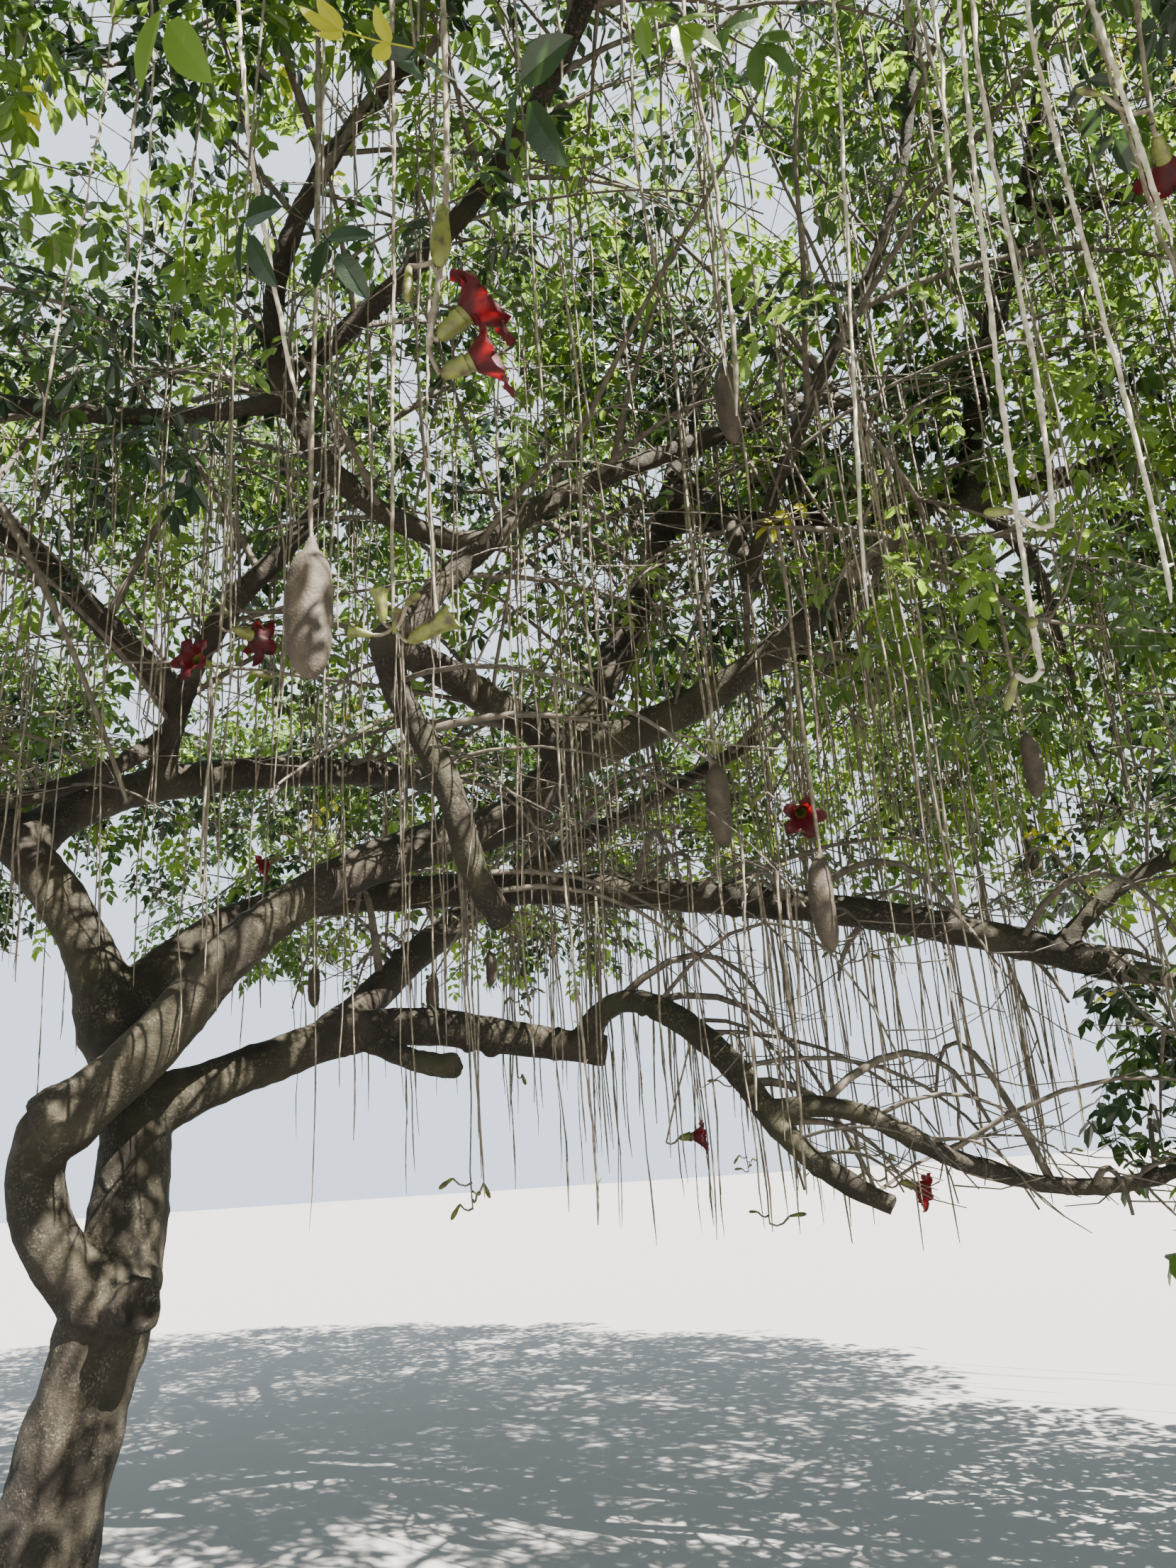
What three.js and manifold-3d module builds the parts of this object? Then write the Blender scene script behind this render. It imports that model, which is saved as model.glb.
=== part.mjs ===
// A sausage tree, whole and rooted in level ground: a leaning trunk, limbs that wind about
// each other, masses of foliage at their ends, and sausage fruits on long hanging stalks.
// Lengths are in millimetres and angles in degrees. +Z is up, +X to the right and +Y away,
// as seen from under the crown's edge. The origin is the middle of the cut under the trunk.

import * as THREE from 'three';
import { mergeVertices } from 'three/addons/utils/BufferGeometryUtils.js';
import Module from 'manifold-3d';

const wasm = await Module();
wasm.setup();

const UP = new THREE.Vector3(0, 0, 1);
const FIRST_SIDE = new THREE.Vector3(0.31, 0.87, 0.38);  // seldom in line with a path
const DEGREE = Math.PI / 180;
const GOLDEN_ANGLE = 137.508;

// Clearances
const GAP = 0.3;            // between a limb's tip and the stem that grows on from it
const GROWTH = 0.5;         // added to a limb before it is cut out of the next one
const CLEAR = 25;           // least distance from a leaf or twig to anything of another node
const MERGE_DISTANCE = 1e-4;

// Fineness of the limbs
const PATH_STEPS = 24;
const BOUGH_SIDES = 6;
const THIN_LIMB_SIDES = 5;
const THIN_GIRTH = 110;     // a limb that starts no thicker than this has the fewer sides
const RING_SPACING = 580;   // the most length that one ring of faces covers
const TRUNK_SIDES = 14;
const TRUNK_RINGS = 8;
const KNOB_RINGS = 2;
const KNUCKLE_FACES = [7, 5];  // round a knuckle, and from its top to its foot

// The trunk's foot and its pruned knob
const FOOT_DEPTH = 120;     // how far the trunk is made below ground before the level cut
const FLARE_GIRTH = 150;    // extra girth where the trunk meets the ground
const FLARE_HEIGHT = 210;
const FLARE_LOBES = 5;
const FLARE_LOBE_DEPTH = 0.1;
const GROUND_SIZE = 4000;   // of the block that cuts the trunk level
const KNOB = { at: 0.48, heading: -50, rise: 4, length: 400, girth: [300, 240, 185] };

// The crown's outline is a dome, and the hall is the open space under its leaves
const CROWN = { centre: [1400, -200, 3300], reach: [6500, 5600] };
const HALL = { centre: [1600, -1300, 900], reach: [4400, 4500] };

// Foliage
const TWIGS_PER_MASS = 5;
const TWIG_REACH = 0.74;    // where a twig ends, as a share of its mass's reach
const TWIG_GIRTH = [36, 28];
const TWIG_STARTS = [0.92, 0.35];  // along the stem, of the topmost twig and the lowest
const TWIG_SIDES = 3;
const TWIG_RINGS = 2;
const TWIG_BEND = 0.3;      // how far a twig first follows its stem, as a share of its reach
const TWIG_STRAIGHTENING = 0.4;
const TWIG_CHECKS = 14;     // places along a twig where it has to be clear
const TWIG_RETRIES = [0, 30, -30, 60, -60];
const TWIG_DRAWN_IN = [1, 0.8, 0.6, 0.4];
const STEM_SIDES = 4;
const STEM_RINGS = 4;
const STEM_COLLAR = 60;     // straight length of a stem before it starts to bend
const STEM_BEND = 0.5;      // how far a stem follows its limb, as a share of its span
const STEM_GIRTH_SHARE = 0.85;
const STEM_TIP_GIRTH = 50;
const LEAF_SHARES = [0.5, 0.75, 1];
const LEAF_TURNS = [60, -60, 0];
const LEAF_RETRIES = [0, 40, -40, 80, -80, 120, -120, 180];
const LEAF_RISES = [-42, -62, -28];
const LEAF_CHECKS = [0.12, 0.25, 0.5, 0.75, 1];
const LEAF_RIB = [0.3, 0.8];  // the stretch of a placed leaf that later leaves keep clear of
const LEAF_RIB_GIRTH = 260;
const LEAF = { length: 980, width: 520, thick: 30, sunk: 6 };
const FRUIT_TWIG_START = 0.6;
const STALK_GIRTH = 22;
const STALK_CHECKS = 16;
const FRUIT_SIDES = 4;
const FRUIT_HEIGHTS = [1, 0.7, 0.15, 0];  // of the rings round a fruit, as shares of its length
const FRUIT_GIRTHS = [0.9, 1, 0.5];       // at all but the first of them, as shares of its own

// The trunk and the limbs. Each limb leaves the one it is from at a share of that limb's
// length. Its heading is turned from +X towards +Y and its rise is the angle above level,
// and both are given, like the girth, at even steps from its start to its tip.
const LIMBS = {
  trunk: {
    length: 2450, girth: [400, 380, 380, 330, 310], knuckle: 175,
    heading: [-30, 0, 90, 180], rise: [80, 75, 80, 60],
  },
  loop_limb: {
    from: 'trunk', at: 0.5, length: 850, girth: [260, 225, 235], knuckle: 120,
    heading: [-120, -150, -180], rise: [20, 65, 105],
  },
  main_bough: {
    from: 'loop_limb', at: 1, length: 3200, girth: [235, 230, 225, 225, 225], knuckle: 140,
    heading: [10, 10, 30, 30, -10], rise: [30, 55, 30, 15, 60],
  },
  right_riser: {
    from: 'main_bough', at: 1, length: 1750, girth: [205, 165, 145],
    heading: [-15, -35], rise: [5, 35],
  },
  centre_riser: {
    from: 'main_bough', at: 1, length: 2950, girth: [190, 165, 140, 115],
    heading: [5, 30, 0], rise: [60, 70, 75],
  },
  far_right_limb: {
    from: 'centre_riser', at: 0.57, length: 3000, girth: [140, 130, 105],
    heading: [-5, -15], rise: [-10, 10],
  },
  tall_right_limb: {
    from: 'far_right_limb', at: 0.6, length: 2300, girth: [130, 130, 100],
    heading: [-90, -45, -85], rise: [65, 60, 60],
  },
  knuckle_limb: {
    from: 'centre_riser', at: 0.62, length: 1450, girth: [105, 100, 110],
    heading: [-75, -60], rise: [-15, -85],
  },
  water_shoot: {
    from: 'knuckle_limb', at: 0.96, length: 3000, girth: [80, 70, 60],
    heading: [-75, -15, -90], rise: [45, 60, 75],
  },
  left_riser: {
    from: 'main_bough', at: 1, length: 1300, girth: [180, 155], knuckle: 88,
    heading: [-130, -130], rise: [15, 10],
  },
  pendant_limb: {
    from: 'left_riser', at: 1, length: 1500, girth: [130, 140, 130],
    heading: [-60, 0, 60, 45], rise: [-85, -60, -70, -45],
  },
  cross_limb: {
    from: 'left_riser', at: 0.97, length: 2950, girth: [130, 120, 95],
    heading: [20, 20, 5], rise: [60, 30, 20],
  },
  tall_left_limb: {
    from: 'cross_limb', at: 0.26, length: 3000, girth: [110, 100, 80],
    heading: [190, 225, 330, 345], rise: [0, 45, 60, 30],
  },
  tall_left_fork: {
    from: 'tall_left_limb', at: 0.43, length: 3700, girth: [95, 90, 70],
    heading: [0, -60, -95], rise: [45, 5, -30],
  },
  flat_left_limb: {
    from: 'tall_left_limb', at: 0.41, length: 3700, girth: [85, 70, 60],
    heading: [170, 240, 270], rise: [-5, -10, -5],
  },
  middle_bough: {
    from: 'trunk', at: 1, length: 5350, girth: [240, 195, 170, 160, 125],
    heading: [40, 15, -20, -25, -30], rise: [60, 5, -10, -15, -25],
  },
  middle_fork: {
    from: 'middle_bough', at: 0.95, length: 1750, girth: [80, 70, 55],
    heading: [-30, -10, 30], rise: [50, 5, 30],
  },
  lower_bough: {
    from: 'trunk', at: 0.82, length: 2400, girth: [215, 195, 190, 170],
    heading: [20, 20, 20, 5], rise: [20, 20, -10, -10],
  },
  arching_limb: {
    from: 'lower_bough', at: 0.95, length: 2150, girth: [120, 125, 110, 85],
    heading: [-65, -40, -45, -5], rise: [50, -30, -55, -25],
  },
  arching_fork: {
    from: 'arching_limb', at: 0.7, length: 1700, girth: [90, 80, 60],
    heading: [-30, -10, -25, -20], rise: [15, -35, -15, 20],
  },
  rear_bough: {
    from: 'lower_bough', at: 0.4, length: 4000, girth: [185, 165, 120, 90],
    heading: [60, 40, 10], rise: [40, 30, 30],
  },
  pruned_stub: {
    from: 'lower_bough', at: 0.47, length: 700, girth: [130, 105, 120],
    heading: [-45, -35], rise: [-35, -5],
  },
  left_bough: {
    from: 'trunk', at: 1, length: 4100, girth: [235, 205, 160, 110],
    heading: [-135, -205, -180], rise: [75, 20, 35],
  },
  left_cross_limb: {
    from: 'left_bough', at: 0.25, length: 4700, girth: [195, 185, 145, 100],
    heading: [75, 20, 90, 120], rise: [45, 5, 15, 20],
  },
  inner_riser: {
    from: 'left_cross_limb', at: 0.2, length: 3100, girth: [130, 115, 100, 75],
    heading: [-55, -40, 60, 150], rise: [60, 30, 75, 40],
  },
  upper_left_limb: {
    from: 'inner_riser', at: 0.16, length: 2950, girth: [150, 145, 115],
    heading: [-120, -135], rise: [30, 30],
  },
  low_left_limb: {
    from: 'inner_riser', at: 0.1, length: 4300, girth: [95, 85, 65],
    heading: [-125, -130, -150], rise: [-45, 0, 10],
  },
  upper_right_limb: {
    from: 'tall_right_limb', at: 0.7, length: 2100, girth: [100, 90, 75],
    heading: [-10, -30, -110], rise: [-5, -10, -15],
  },
  back_left_limb: {
    from: 'left_bough', at: 0.52, length: 3000, girth: [125, 105, 80],
    heading: [120, 100, 115], rise: [25, 20, 10],
  },
  back_right_limb: {
    from: 'rear_bough', at: 0.55, length: 2500, girth: [115, 95, 75],
    heading: [110, 95, 80], rise: [15, 25, 5],
  },
  right_back_limb: {
    from: 'far_right_limb', at: 0.6, length: 2300, girth: [90, 80, 60],
    heading: [35, 65, 60], rise: [-20, -5, -10],
  },
  front_right_limb: {
    from: 'upper_right_limb', at: 0.5, length: 2300, girth: [80, 70, 55],
    heading: [-80, -110, -125], rise: [-20, -10, -10],
  },
  front_left_limb: {
    from: 'flat_left_limb', at: 0.66, length: 1900, girth: [65, 60, 50],
    heading: [-45, -70, -60], rise: [-5, 5, -5],
  },
};

// The masses of foliage: the limb whose tip each grows from, its centre, and its reach to the
// sides and up. Those marked inner hang inside the hall.
const MASSES = {
  top_foliage: { tip: 'centre_riser', centre: [2900, 1500, 7150], reach: [2200, 1500] },
  inner_foliage: { tip: 'inner_riser', centre: [-200, 1400, 6850], reach: [2200, 1600] },
  upper_left_foliage: { tip: 'upper_left_limb', centre: [-1800, -1900, 6050], reach: [2100, 1600] },
  tall_left_foliage: { tip: 'tall_left_limb', centre: [1600, -2400, 7000], reach: [2200, 1500] },
  shoot_foliage: { tip: 'water_shoot', centre: [4100, -2300, 6800], reach: [2000, 1500] },
  tall_right_foliage: { tip: 'tall_right_limb', centre: [5300, -300, 7200], reach: [2000, 1400] },
  far_right_foliage: { tip: 'far_right_limb', centre: [6400, 100, 4900], reach: [1900, 1700] },
  right_back_foliage: { tip: 'right_back_limb', centre: [5800, 2600, 4400], reach: [2000, 1800] },
  rear_foliage: { tip: 'rear_bough', centre: [4000, 3800, 5000], reach: [2000, 1800] },
  back_right_foliage: { tip: 'back_right_limb', centre: [2000, 4700, 4700], reach: [1900, 1900] },
  back_foliage: { tip: 'left_cross_limb', centre: [-200, 4300, 4700], reach: [1900, 1900] },
  back_left_foliage: { tip: 'back_left_limb', centre: [-2500, 3000, 4900], reach: [2000, 1900] },
  left_foliage: { tip: 'left_bough', centre: [-3500, 500, 4700], reach: [2000, 1900] },
  low_left_foliage: { tip: 'low_left_limb', centre: [-3100, -2500, 4100], reach: [2000, 1900] },
  flat_left_foliage: { tip: 'flat_left_limb', centre: [-1300, -4300, 4700], reach: [1900, 1700] },
  front_left_foliage: { tip: 'front_left_limb', centre: [900, -5100, 4800], reach: [1700, 1600] },
  front_foliage: { tip: 'tall_left_fork', centre: [2900, -5000, 4900], reach: [1700, 1600] },
  front_right_foliage: { tip: 'front_right_limb', centre: [5000, -4000, 4700], reach: [1900, 1800] },
  upper_right_foliage: { tip: 'upper_right_limb', centre: [6400, -2100, 5200], reach: [1900, 1800] },
  right_riser_foliage: { tip: 'right_riser', inner: true, centre: [4300, -500, 4300], reach: [1100, 1100] },
  cross_foliage: { tip: 'cross_limb', inner: true, centre: [4300, 700, 5700], reach: [1400, 1000] },
  middle_foliage: { tip: 'middle_bough', inner: true, centre: [5400, -1300, 2500], reach: [1300, 1100] },
  middle_fork_foliage: { tip: 'middle_fork', inner: true, centre: [6400, 0, 3100], reach: [1300, 1100] },
  arching_foliage: { tip: 'arching_fork', inner: true, centre: [5500, -500, 1700], reach: [1300, 900] },
};

// Fruits that show in the photograph: the mass each hangs from, where its stalk starts, the
// height of its foot, and its size
const FRUITS = [
  { mass: 'tall_left_foliage', top: [1650, -2200, 6900], foot: 3050, length: 420, girth: 160 },
  { mass: 'cross_foliage', top: [3050, -400, 6400], foot: 2900, length: 370, girth: 120 },
  { mass: 'tall_left_foliage', top: [3200, -1050, 6700], foot: 4550, length: 400, girth: 115 },
  { mass: 'inner_foliage', top: [-150, 300, 6300], foot: 5250, length: 290, girth: 110 },
  { mass: 'inner_foliage', top: [950, 100, 6400], foot: 4900, length: 350, girth: 110 },
  { mass: 'right_riser_foliage', top: [3400, -750, 4300], foot: 2350, length: 380, girth: 110 },
  { mass: 'right_riser_foliage', top: [4350, -700, 4200], foot: 2950, length: 270, girth: 90 },
  { mass: 'upper_left_foliage', top: [-1100, -2300, 5900], foot: 3500, length: 360, girth: 130 },
];

// Seeded fruits, on about half of the other masses
const FRUIT_CHANCE = 0.55;
const STALK_PLACE = 0.7;    // along the twig that the stalk hangs from
const STALK_DROP = [900, 1900];
const FRUIT_LENGTH = [280, 430];
const FRUIT_SLENDERNESS = 0.34;
const LOWEST_FRUIT = 1500;

const BARK = { color: '#6e6352', roughness: 0.9, metalness: 0 };
const FOLIAGE = { color: '#4f7534', roughness: 0.6, metalness: 0 };

const vector = (place) => new THREE.Vector3(...place);

// A value read off a list that is given at even steps from share 0 to share 1
function between(values, share) {
  const place = Math.min(Math.max(share, 0), 1) * (values.length - 1);
  const step = Math.min(Math.floor(place), values.length - 2);
  return values[step] + (values[step + 1] - values[step]) * (place - step);
}

function evenShares(count) {
  return Array.from({ length: count }, (_, index) => (index + 1) / count);
}

function aim(heading, rise) {
  const level = Math.cos(rise * DEGREE);
  const across = Math.cos(heading * DEGREE) * level;
  const away = Math.sin(heading * DEGREE) * level;
  return new THREE.Vector3(across, away, Math.sin(rise * DEGREE));
}

// Random numbers that come out the same for the same seed
function randomSource(seed) {
  let state = seed;
  return () => {
    state = (Math.imul(state, 1664525) + 1013904223) >>> 0;
    return state / 4294967296;
  };
}

// A path is a list of points at even steps
function windingPath(start, { length, heading, rise }) {
  const points = [start.clone()];
  for (let step = 0; step < PATH_STEPS; step++) {
    const share = (step + 0.5) / PATH_STEPS;
    const direction = aim(between(heading, share), between(rise, share));
    points.push(points[step].clone().addScaledVector(direction, length / PATH_STEPS));
  }
  return points;
}

function curvedPath(start, bend, end, steps) {
  return new THREE.QuadraticBezierCurve3(start, bend, end).getPoints(steps);
}

function pointOn(path, share) {
  const place = Math.min(Math.max(share, 0), 1) * (path.length - 1);
  const step = Math.min(Math.floor(place), path.length - 2);
  return path[step].clone().lerp(path[step + 1], place - step);
}

function directionOn(path, share) {
  const half = 0.5 / (path.length - 1);
  return pointOn(path, share + half).sub(pointOn(path, share - half)).normalize();
}

// Frames along a path, carried from one ring to the next without twisting
function framesAlong(path, rings) {
  const frames = [];
  let side = FIRST_SIDE;
  for (let ring = 0; ring <= rings; ring++) {
    const share = ring / rings;
    const forward = directionOn(path, share);
    side = side.clone().addScaledVector(forward, -side.dot(forward)).normalize();
    frames.push({ origin: pointOn(path, share), side, cross: side.clone().cross(forward) });
  }
  return frames;
}

function solidFrom(geometry) {
  geometry.deleteAttribute('normal');
  geometry.deleteAttribute('uv');
  const merged = mergeVertices(geometry, MERGE_DISTANCE);
  const vertProperties = new Float32Array(merged.attributes.position.array);
  const triVerts = new Uint32Array(merged.index.array);
  return new wasm.Manifold(new wasm.Mesh({ numProp: 3, vertProperties, triVerts }));
}

function geometryFrom(solid) {
  const mesh = solid.getMesh();
  const geometry = new THREE.BufferGeometry();
  geometry.setAttribute('position', new THREE.BufferAttribute(mesh.vertProperties, 3));
  geometry.setIndex(new THREE.BufferAttribute(mesh.triVerts, 1));
  return geometry;
}

// Of a solid that fusing or cutting left in several bodies, the largest, with no sealed hollow
function largestBody(solid) {
  const bodies = solid.decompose();
  return bodies.reduce((best, body) => (body.volume() > best.volume() ? body : best));
}

// A cylinder bent along a path, with a girth that may change along and around it
function bentTube(path, radiusAt, sides, rings) {
  const geometry = new THREE.CylinderGeometry(1, 1, 1, sides, rings);
  const frames = framesAlong(path, rings);
  const position = geometry.attributes.position;
  const corner = new THREE.Vector3();
  for (let index = 0; index < position.count; index++) {
    corner.fromBufferAttribute(position, index);
    const share = corner.y + 0.5;
    const angle = Math.atan2(corner.z, corner.x);
    const radius = Math.hypot(corner.x, corner.z) * radiusAt(share, angle);
    const frame = frames[Math.round(share * rings)];
    corner.copy(frame.origin);
    corner.addScaledVector(frame.side, Math.cos(angle) * radius);
    corner.addScaledVector(frame.cross, Math.sin(angle) * radius);
    position.setXYZ(index, corner.x, corner.y, corner.z);
  }
  return solidFrom(geometry);
}

function ball(centre, radius) {
  const geometry = new THREE.SphereGeometry(radius, ...KNUCKLE_FACES);
  return solidFrom(geometry.translate(centre.x, centre.y, centre.z));
}

// The same path with both ends moved outwards
function lengthened(path, extra) {
  const start = path[0].clone().addScaledVector(directionOn(path, 0), -extra);
  const end = path.at(-1).clone().addScaledVector(directionOn(path, 1), extra);
  return [start, ...path.slice(1, -1), end];
}

function layOutLimbs() {
  const paths = {};
  for (const [name, limb] of Object.entries(LIMBS)) {
    const start = limb.from ? pointOn(paths[limb.from], limb.at) : new THREE.Vector3();
    paths[name] = windingPath(start, limb);
  }
  return paths;
}

const limbPaths = layOutLimbs();

function limbSolid(name, extra) {
  const limb = LIMBS[name];
  const path = lengthened(limbPaths[name], extra);
  const radiusAt = (share) => between(limb.girth, share) / 2 + extra;
  const sides = limb.girth[0] > THIN_GIRTH ? BOUGH_SIDES : THIN_LIMB_SIDES;
  const rings = Math.max(2, Math.ceil(limb.length / RING_SPACING));
  const solid = bentTube(path, radiusAt, sides, rings);
  return limb.knuckle ? solid.add(ball(limbPaths[name].at(-1), limb.knuckle + extra)) : solid;
}

// The trunk has a fluted foot, a pruned knob and a level cut at the ground
function trunkSolid(extra) {
  const path = lengthened(limbPaths.trunk, FOOT_DEPTH);
  path[path.length - 1] = limbPaths.trunk.at(-1);
  const radiusAt = (share, angle) => {
    const height = Math.max(0, share * LIMBS.trunk.length);
    const flare = (FLARE_GIRTH / 2) * Math.exp(-height / FLARE_HEIGHT);
    const lobe = 1 + FLARE_LOBE_DEPTH * Math.cos(FLARE_LOBES * angle) * Math.exp(-height / FLARE_HEIGHT);
    return (between(LIMBS.trunk.girth, share) / 2 + flare) * lobe + extra;
  };
  const stem = bentTube(path, radiusAt, TRUNK_SIDES, TRUNK_RINGS);
  const fork = ball(limbPaths.trunk.at(-1), LIMBS.trunk.knuckle + extra);
  const whole = stem.add(fork).add(knobSolid(extra));
  return whole.subtract(groundBlock());
}

function knobSolid(extra) {
  const start = pointOn(limbPaths.trunk, KNOB.at);
  const end = start.clone().addScaledVector(aim(KNOB.heading, KNOB.rise), KNOB.length + extra);
  const radiusAt = (share) => between(KNOB.girth, share) / 2 + extra;
  return bentTube([start, end], radiusAt, BOUGH_SIDES, KNOB_RINGS);
}

function groundBlock() {
  const block = new THREE.BoxGeometry(GROUND_SIZE, GROUND_SIZE, GROUND_SIZE);
  return solidFrom(block.translate(0, 0, -GROUND_SIZE / 2));
}

function apart(solid, other) {
  const one = solid.boundingBox();
  const two = other.boundingBox();
  return [0, 1, 2].some((axis) => one.min[axis] > two.max[axis] || two.min[axis] > one.max[axis]);
}

// Each limb is cut clear of every limb made before it
function buildLimbs() {
  const solids = {};
  const grown = [];
  for (const name of Object.keys(LIMBS)) {
    const isTrunk = name === 'trunk';
    let solid = isTrunk ? trunkSolid(0) : limbSolid(name, 0);
    for (const other of grown) {
      if (!apart(solid, other)) solid = solid.subtract(other);
    }
    solids[name] = largestBody(solid);
    grown.push(isTrunk ? trunkSolid(GROWTH) : limbSolid(name, GROWTH));
  }
  return solids;
}

// Everything that leaves and twigs keep clear of, as short straight rods with an owner
const rods = [];

function addRods(path, radiusAt, owner) {
  for (let step = 1; step < path.length; step++) {
    const line = new THREE.Line3(path[step - 1], path[step]);
    rods.push({ line, radius: radiusAt(step / (path.length - 1)), owner, path });
  }
}

function isClear(point, radius, isPassed) {
  const nearest = new THREE.Vector3();
  return rods.every((rod) => {
    if (isPassed(rod)) return true;
    rod.line.closestPointToPoint(point, true, nearest);
    return nearest.distanceTo(point) > rod.radius + radius + CLEAR;
  });
}

function withinDome(point, dome, margin) {
  const offset = point.clone().sub(vector(dome.centre));
  const [sideways, upwards] = dome.reach.map((value) => value - margin);
  return Math.hypot(offset.x / sideways, offset.y / sideways, offset.z / upwards) < 1;
}

// A mass's own space: inside its reach and the crown, outside the hall, and on its own side
// of the planes half way to the other masses
function inOwnSpace(name, point, margin) {
  const mass = MASSES[name];
  if (!withinDome(point, mass, 0)) return false;
  if (!withinDome(point, CROWN, margin)) return false;
  if (!mass.inner && withinDome(point, HALL, -margin)) return false;
  const own = vector(mass.centre);
  return Object.keys(MASSES).every((other) => {
    if (other === name) return true;
    const away = vector(MASSES[other].centre).sub(own);
    const half = own.clone().addScaledVector(away, 0.5);
    return point.clone().sub(half).dot(away.normalize()) < -margin;
  });
}

function stemOf(name) {
  const mass = MASSES[name];
  const limb = LIMBS[mass.tip];
  const path = limbPaths[mass.tip];
  const direction = directionOn(path, 1);
  const start = path.at(-1).clone().addScaledVector(direction, GAP);
  const collar = start.clone().addScaledVector(direction, STEM_COLLAR);
  const centre = vector(mass.centre);
  const span = centre.distanceTo(start);
  const bend = collar.clone().addScaledVector(direction, span * STEM_BEND);
  const stem = [start, ...curvedPath(collar, bend, centre, STEM_RINGS - 1)];
  const girth = [limb.girth.at(-1) * STEM_GIRTH_SHARE, STEM_TIP_GIRTH];
  return { path: stem, radiusAt: (share) => between(girth, share) / 2 };
}

// A twig from the stem to a target, unless it would leave the space or touch something
function twigTo(name, stem, share, target, keepsToSpace) {
  const start = pointOn(stem.path, share);
  const reach = start.distanceTo(target);
  const bend = start.clone().addScaledVector(directionOn(stem.path, share), reach * TWIG_BEND);
  bend.lerp(start.clone().lerp(target, 0.5), TWIG_STRAIGHTENING);
  const path = curvedPath(start, bend, target, TWIG_RINGS);
  const checks = evenShares(TWIG_CHECKS).map((place) => pointOn(path, place));
  const isPassed = (rod) => rod.owner === name;
  const fits = checks.every((point) => isClear(point, TWIG_GIRTH[0] / 2, isPassed)
    && (!keepsToSpace || inOwnSpace(name, point, TWIG_GIRTH[0])));
  return fits ? { path, radiusAt: (place) => between(TWIG_GIRTH, place) / 2 } : null;
}

// Twigs to points spread evenly over the mass's outline, turned or drawn in where they would
// leave it
function twigsOf(name, stem, random) {
  const mass = MASSES[name];
  const [sideways, upwards] = mass.reach.map((value) => value * TWIG_REACH);
  const turn = random() * 360;
  const twigs = [];
  for (let index = 0; index < TWIGS_PER_MASS; index++) {
    const height = 1 - (2 * (index + 0.5)) / TWIGS_PER_MASS;
    const heading = turn + index * GOLDEN_ANGLE;
    const start = between(TWIG_STARTS, index / (TWIGS_PER_MASS - 1));
    const tries = TWIG_DRAWN_IN.flatMap((share) => TWIG_RETRIES.map((extra) => {
      const outwards = aim(heading + extra, Math.asin(height) / DEGREE).multiplyScalar(share);
      outwards.multiply(new THREE.Vector3(sideways, sideways, upwards));
      return twigTo(name, stem, start, vector(mass.centre).add(outwards), true);
    }));
    const twig = tries.find((one) => one);
    if (twig) twigs.push(twig);
  }
  return twigs;
}

// A stalk that hangs straight down and swells into a fruit at its foot, as one tube
function hangingFruit(name, top, foot, length, girth) {
  const heights = [top.z, ...FRUIT_HEIGHTS.map((share) => foot + length * share)];
  const path = heights.map((height) => new THREE.Vector3(top.x, top.y, height));
  const girths = [STALK_GIRTH, STALK_GIRTH, ...FRUIT_GIRTHS.map((share) => girth * share)];
  const radiusAt = (share) => between(girths, share) / 2;
  const isPassed = (rod) => rod.owner === name;
  const checks = evenShares(STALK_CHECKS).map((share) => top.clone().lerp(path.at(-1), share));
  return checks.every((point) => isClear(point, girth / 2, isPassed)) ? { path, radiusAt } : null;
}

// One fruit on some of the masses, below the first twig that it can hang from
function seededFruits(name, twigs, random) {
  if (random() > FRUIT_CHANCE) return [];
  for (const twig of twigs) {
    const drop = between(STALK_DROP, random());
    const length = between(FRUIT_LENGTH, random());
    const top = pointOn(twig.path, STALK_PLACE);
    const foot = Math.max(LOWEST_FRUIT, top.z - drop - length);
    const fruit = hangingFruit(name, top, foot, length, length * FRUIT_SLENDERNESS);
    if (fruit) return [fruit];
  }
  return [];
}

// Twigs to the tops of the stalks that show in the photograph, and the fruits below them
function photographedFruits(name, stem) {
  const twigs = [];
  const fruits = [];
  for (const { top, foot, length, girth } of FRUITS.filter((fruit) => fruit.mass === name)) {
    const twig = twigTo(name, stem, FRUIT_TWIG_START, vector(top), false);
    const fruit = hangingFruit(name, vector(top), foot, length, girth);
    if (!twig || !fruit) continue;
    twigs.push(twig);
    fruits.push(fruit);
  }
  return { twigs, fruits };
}

function leafAcross(direction) {
  return direction.clone().cross(UP).normalize();
}

// A leaf of eight faces whose root is sunk through the twig
function leafSolid(root, direction) {
  const across = leafAcross(direction);
  const face = direction.clone().cross(across).normalize();
  const turned = new THREE.Matrix4().makeBasis(direction, across, face);
  const middle = root.clone().addScaledVector(direction, LEAF.length / 2 - LEAF.sunk);
  const geometry = new THREE.OctahedronGeometry(0.5).scale(LEAF.length, LEAF.width, LEAF.thick);
  return solidFrom(geometry.applyMatrix4(turned.setPosition(middle)));
}

// The leaf's edges keep to the mass's space, and it is clear of all but its own twig
function leafFits(name, root, direction, twig) {
  const across = leafAcross(direction);
  const isPassed = (rod) => rod.path === twig.path;
  return LEAF_CHECKS.every((share) => {
    const middle = root.clone().addScaledVector(direction, LEAF.length * share - LEAF.sunk);
    const halfWidth = (LEAF.width / 2) * (1 - Math.abs(2 * share - 1));
    return [-1, 1].every((side) => {
      const edge = middle.clone().addScaledVector(across, side * halfWidth);
      const inside = middle.clone().addScaledVector(across, (side * halfWidth) / 2);
      return inOwnSpace(name, edge, CLEAR / 2)
        && isClear(inside, halfWidth / 2 + LEAF.thick, isPassed);
    });
  });
}

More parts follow.
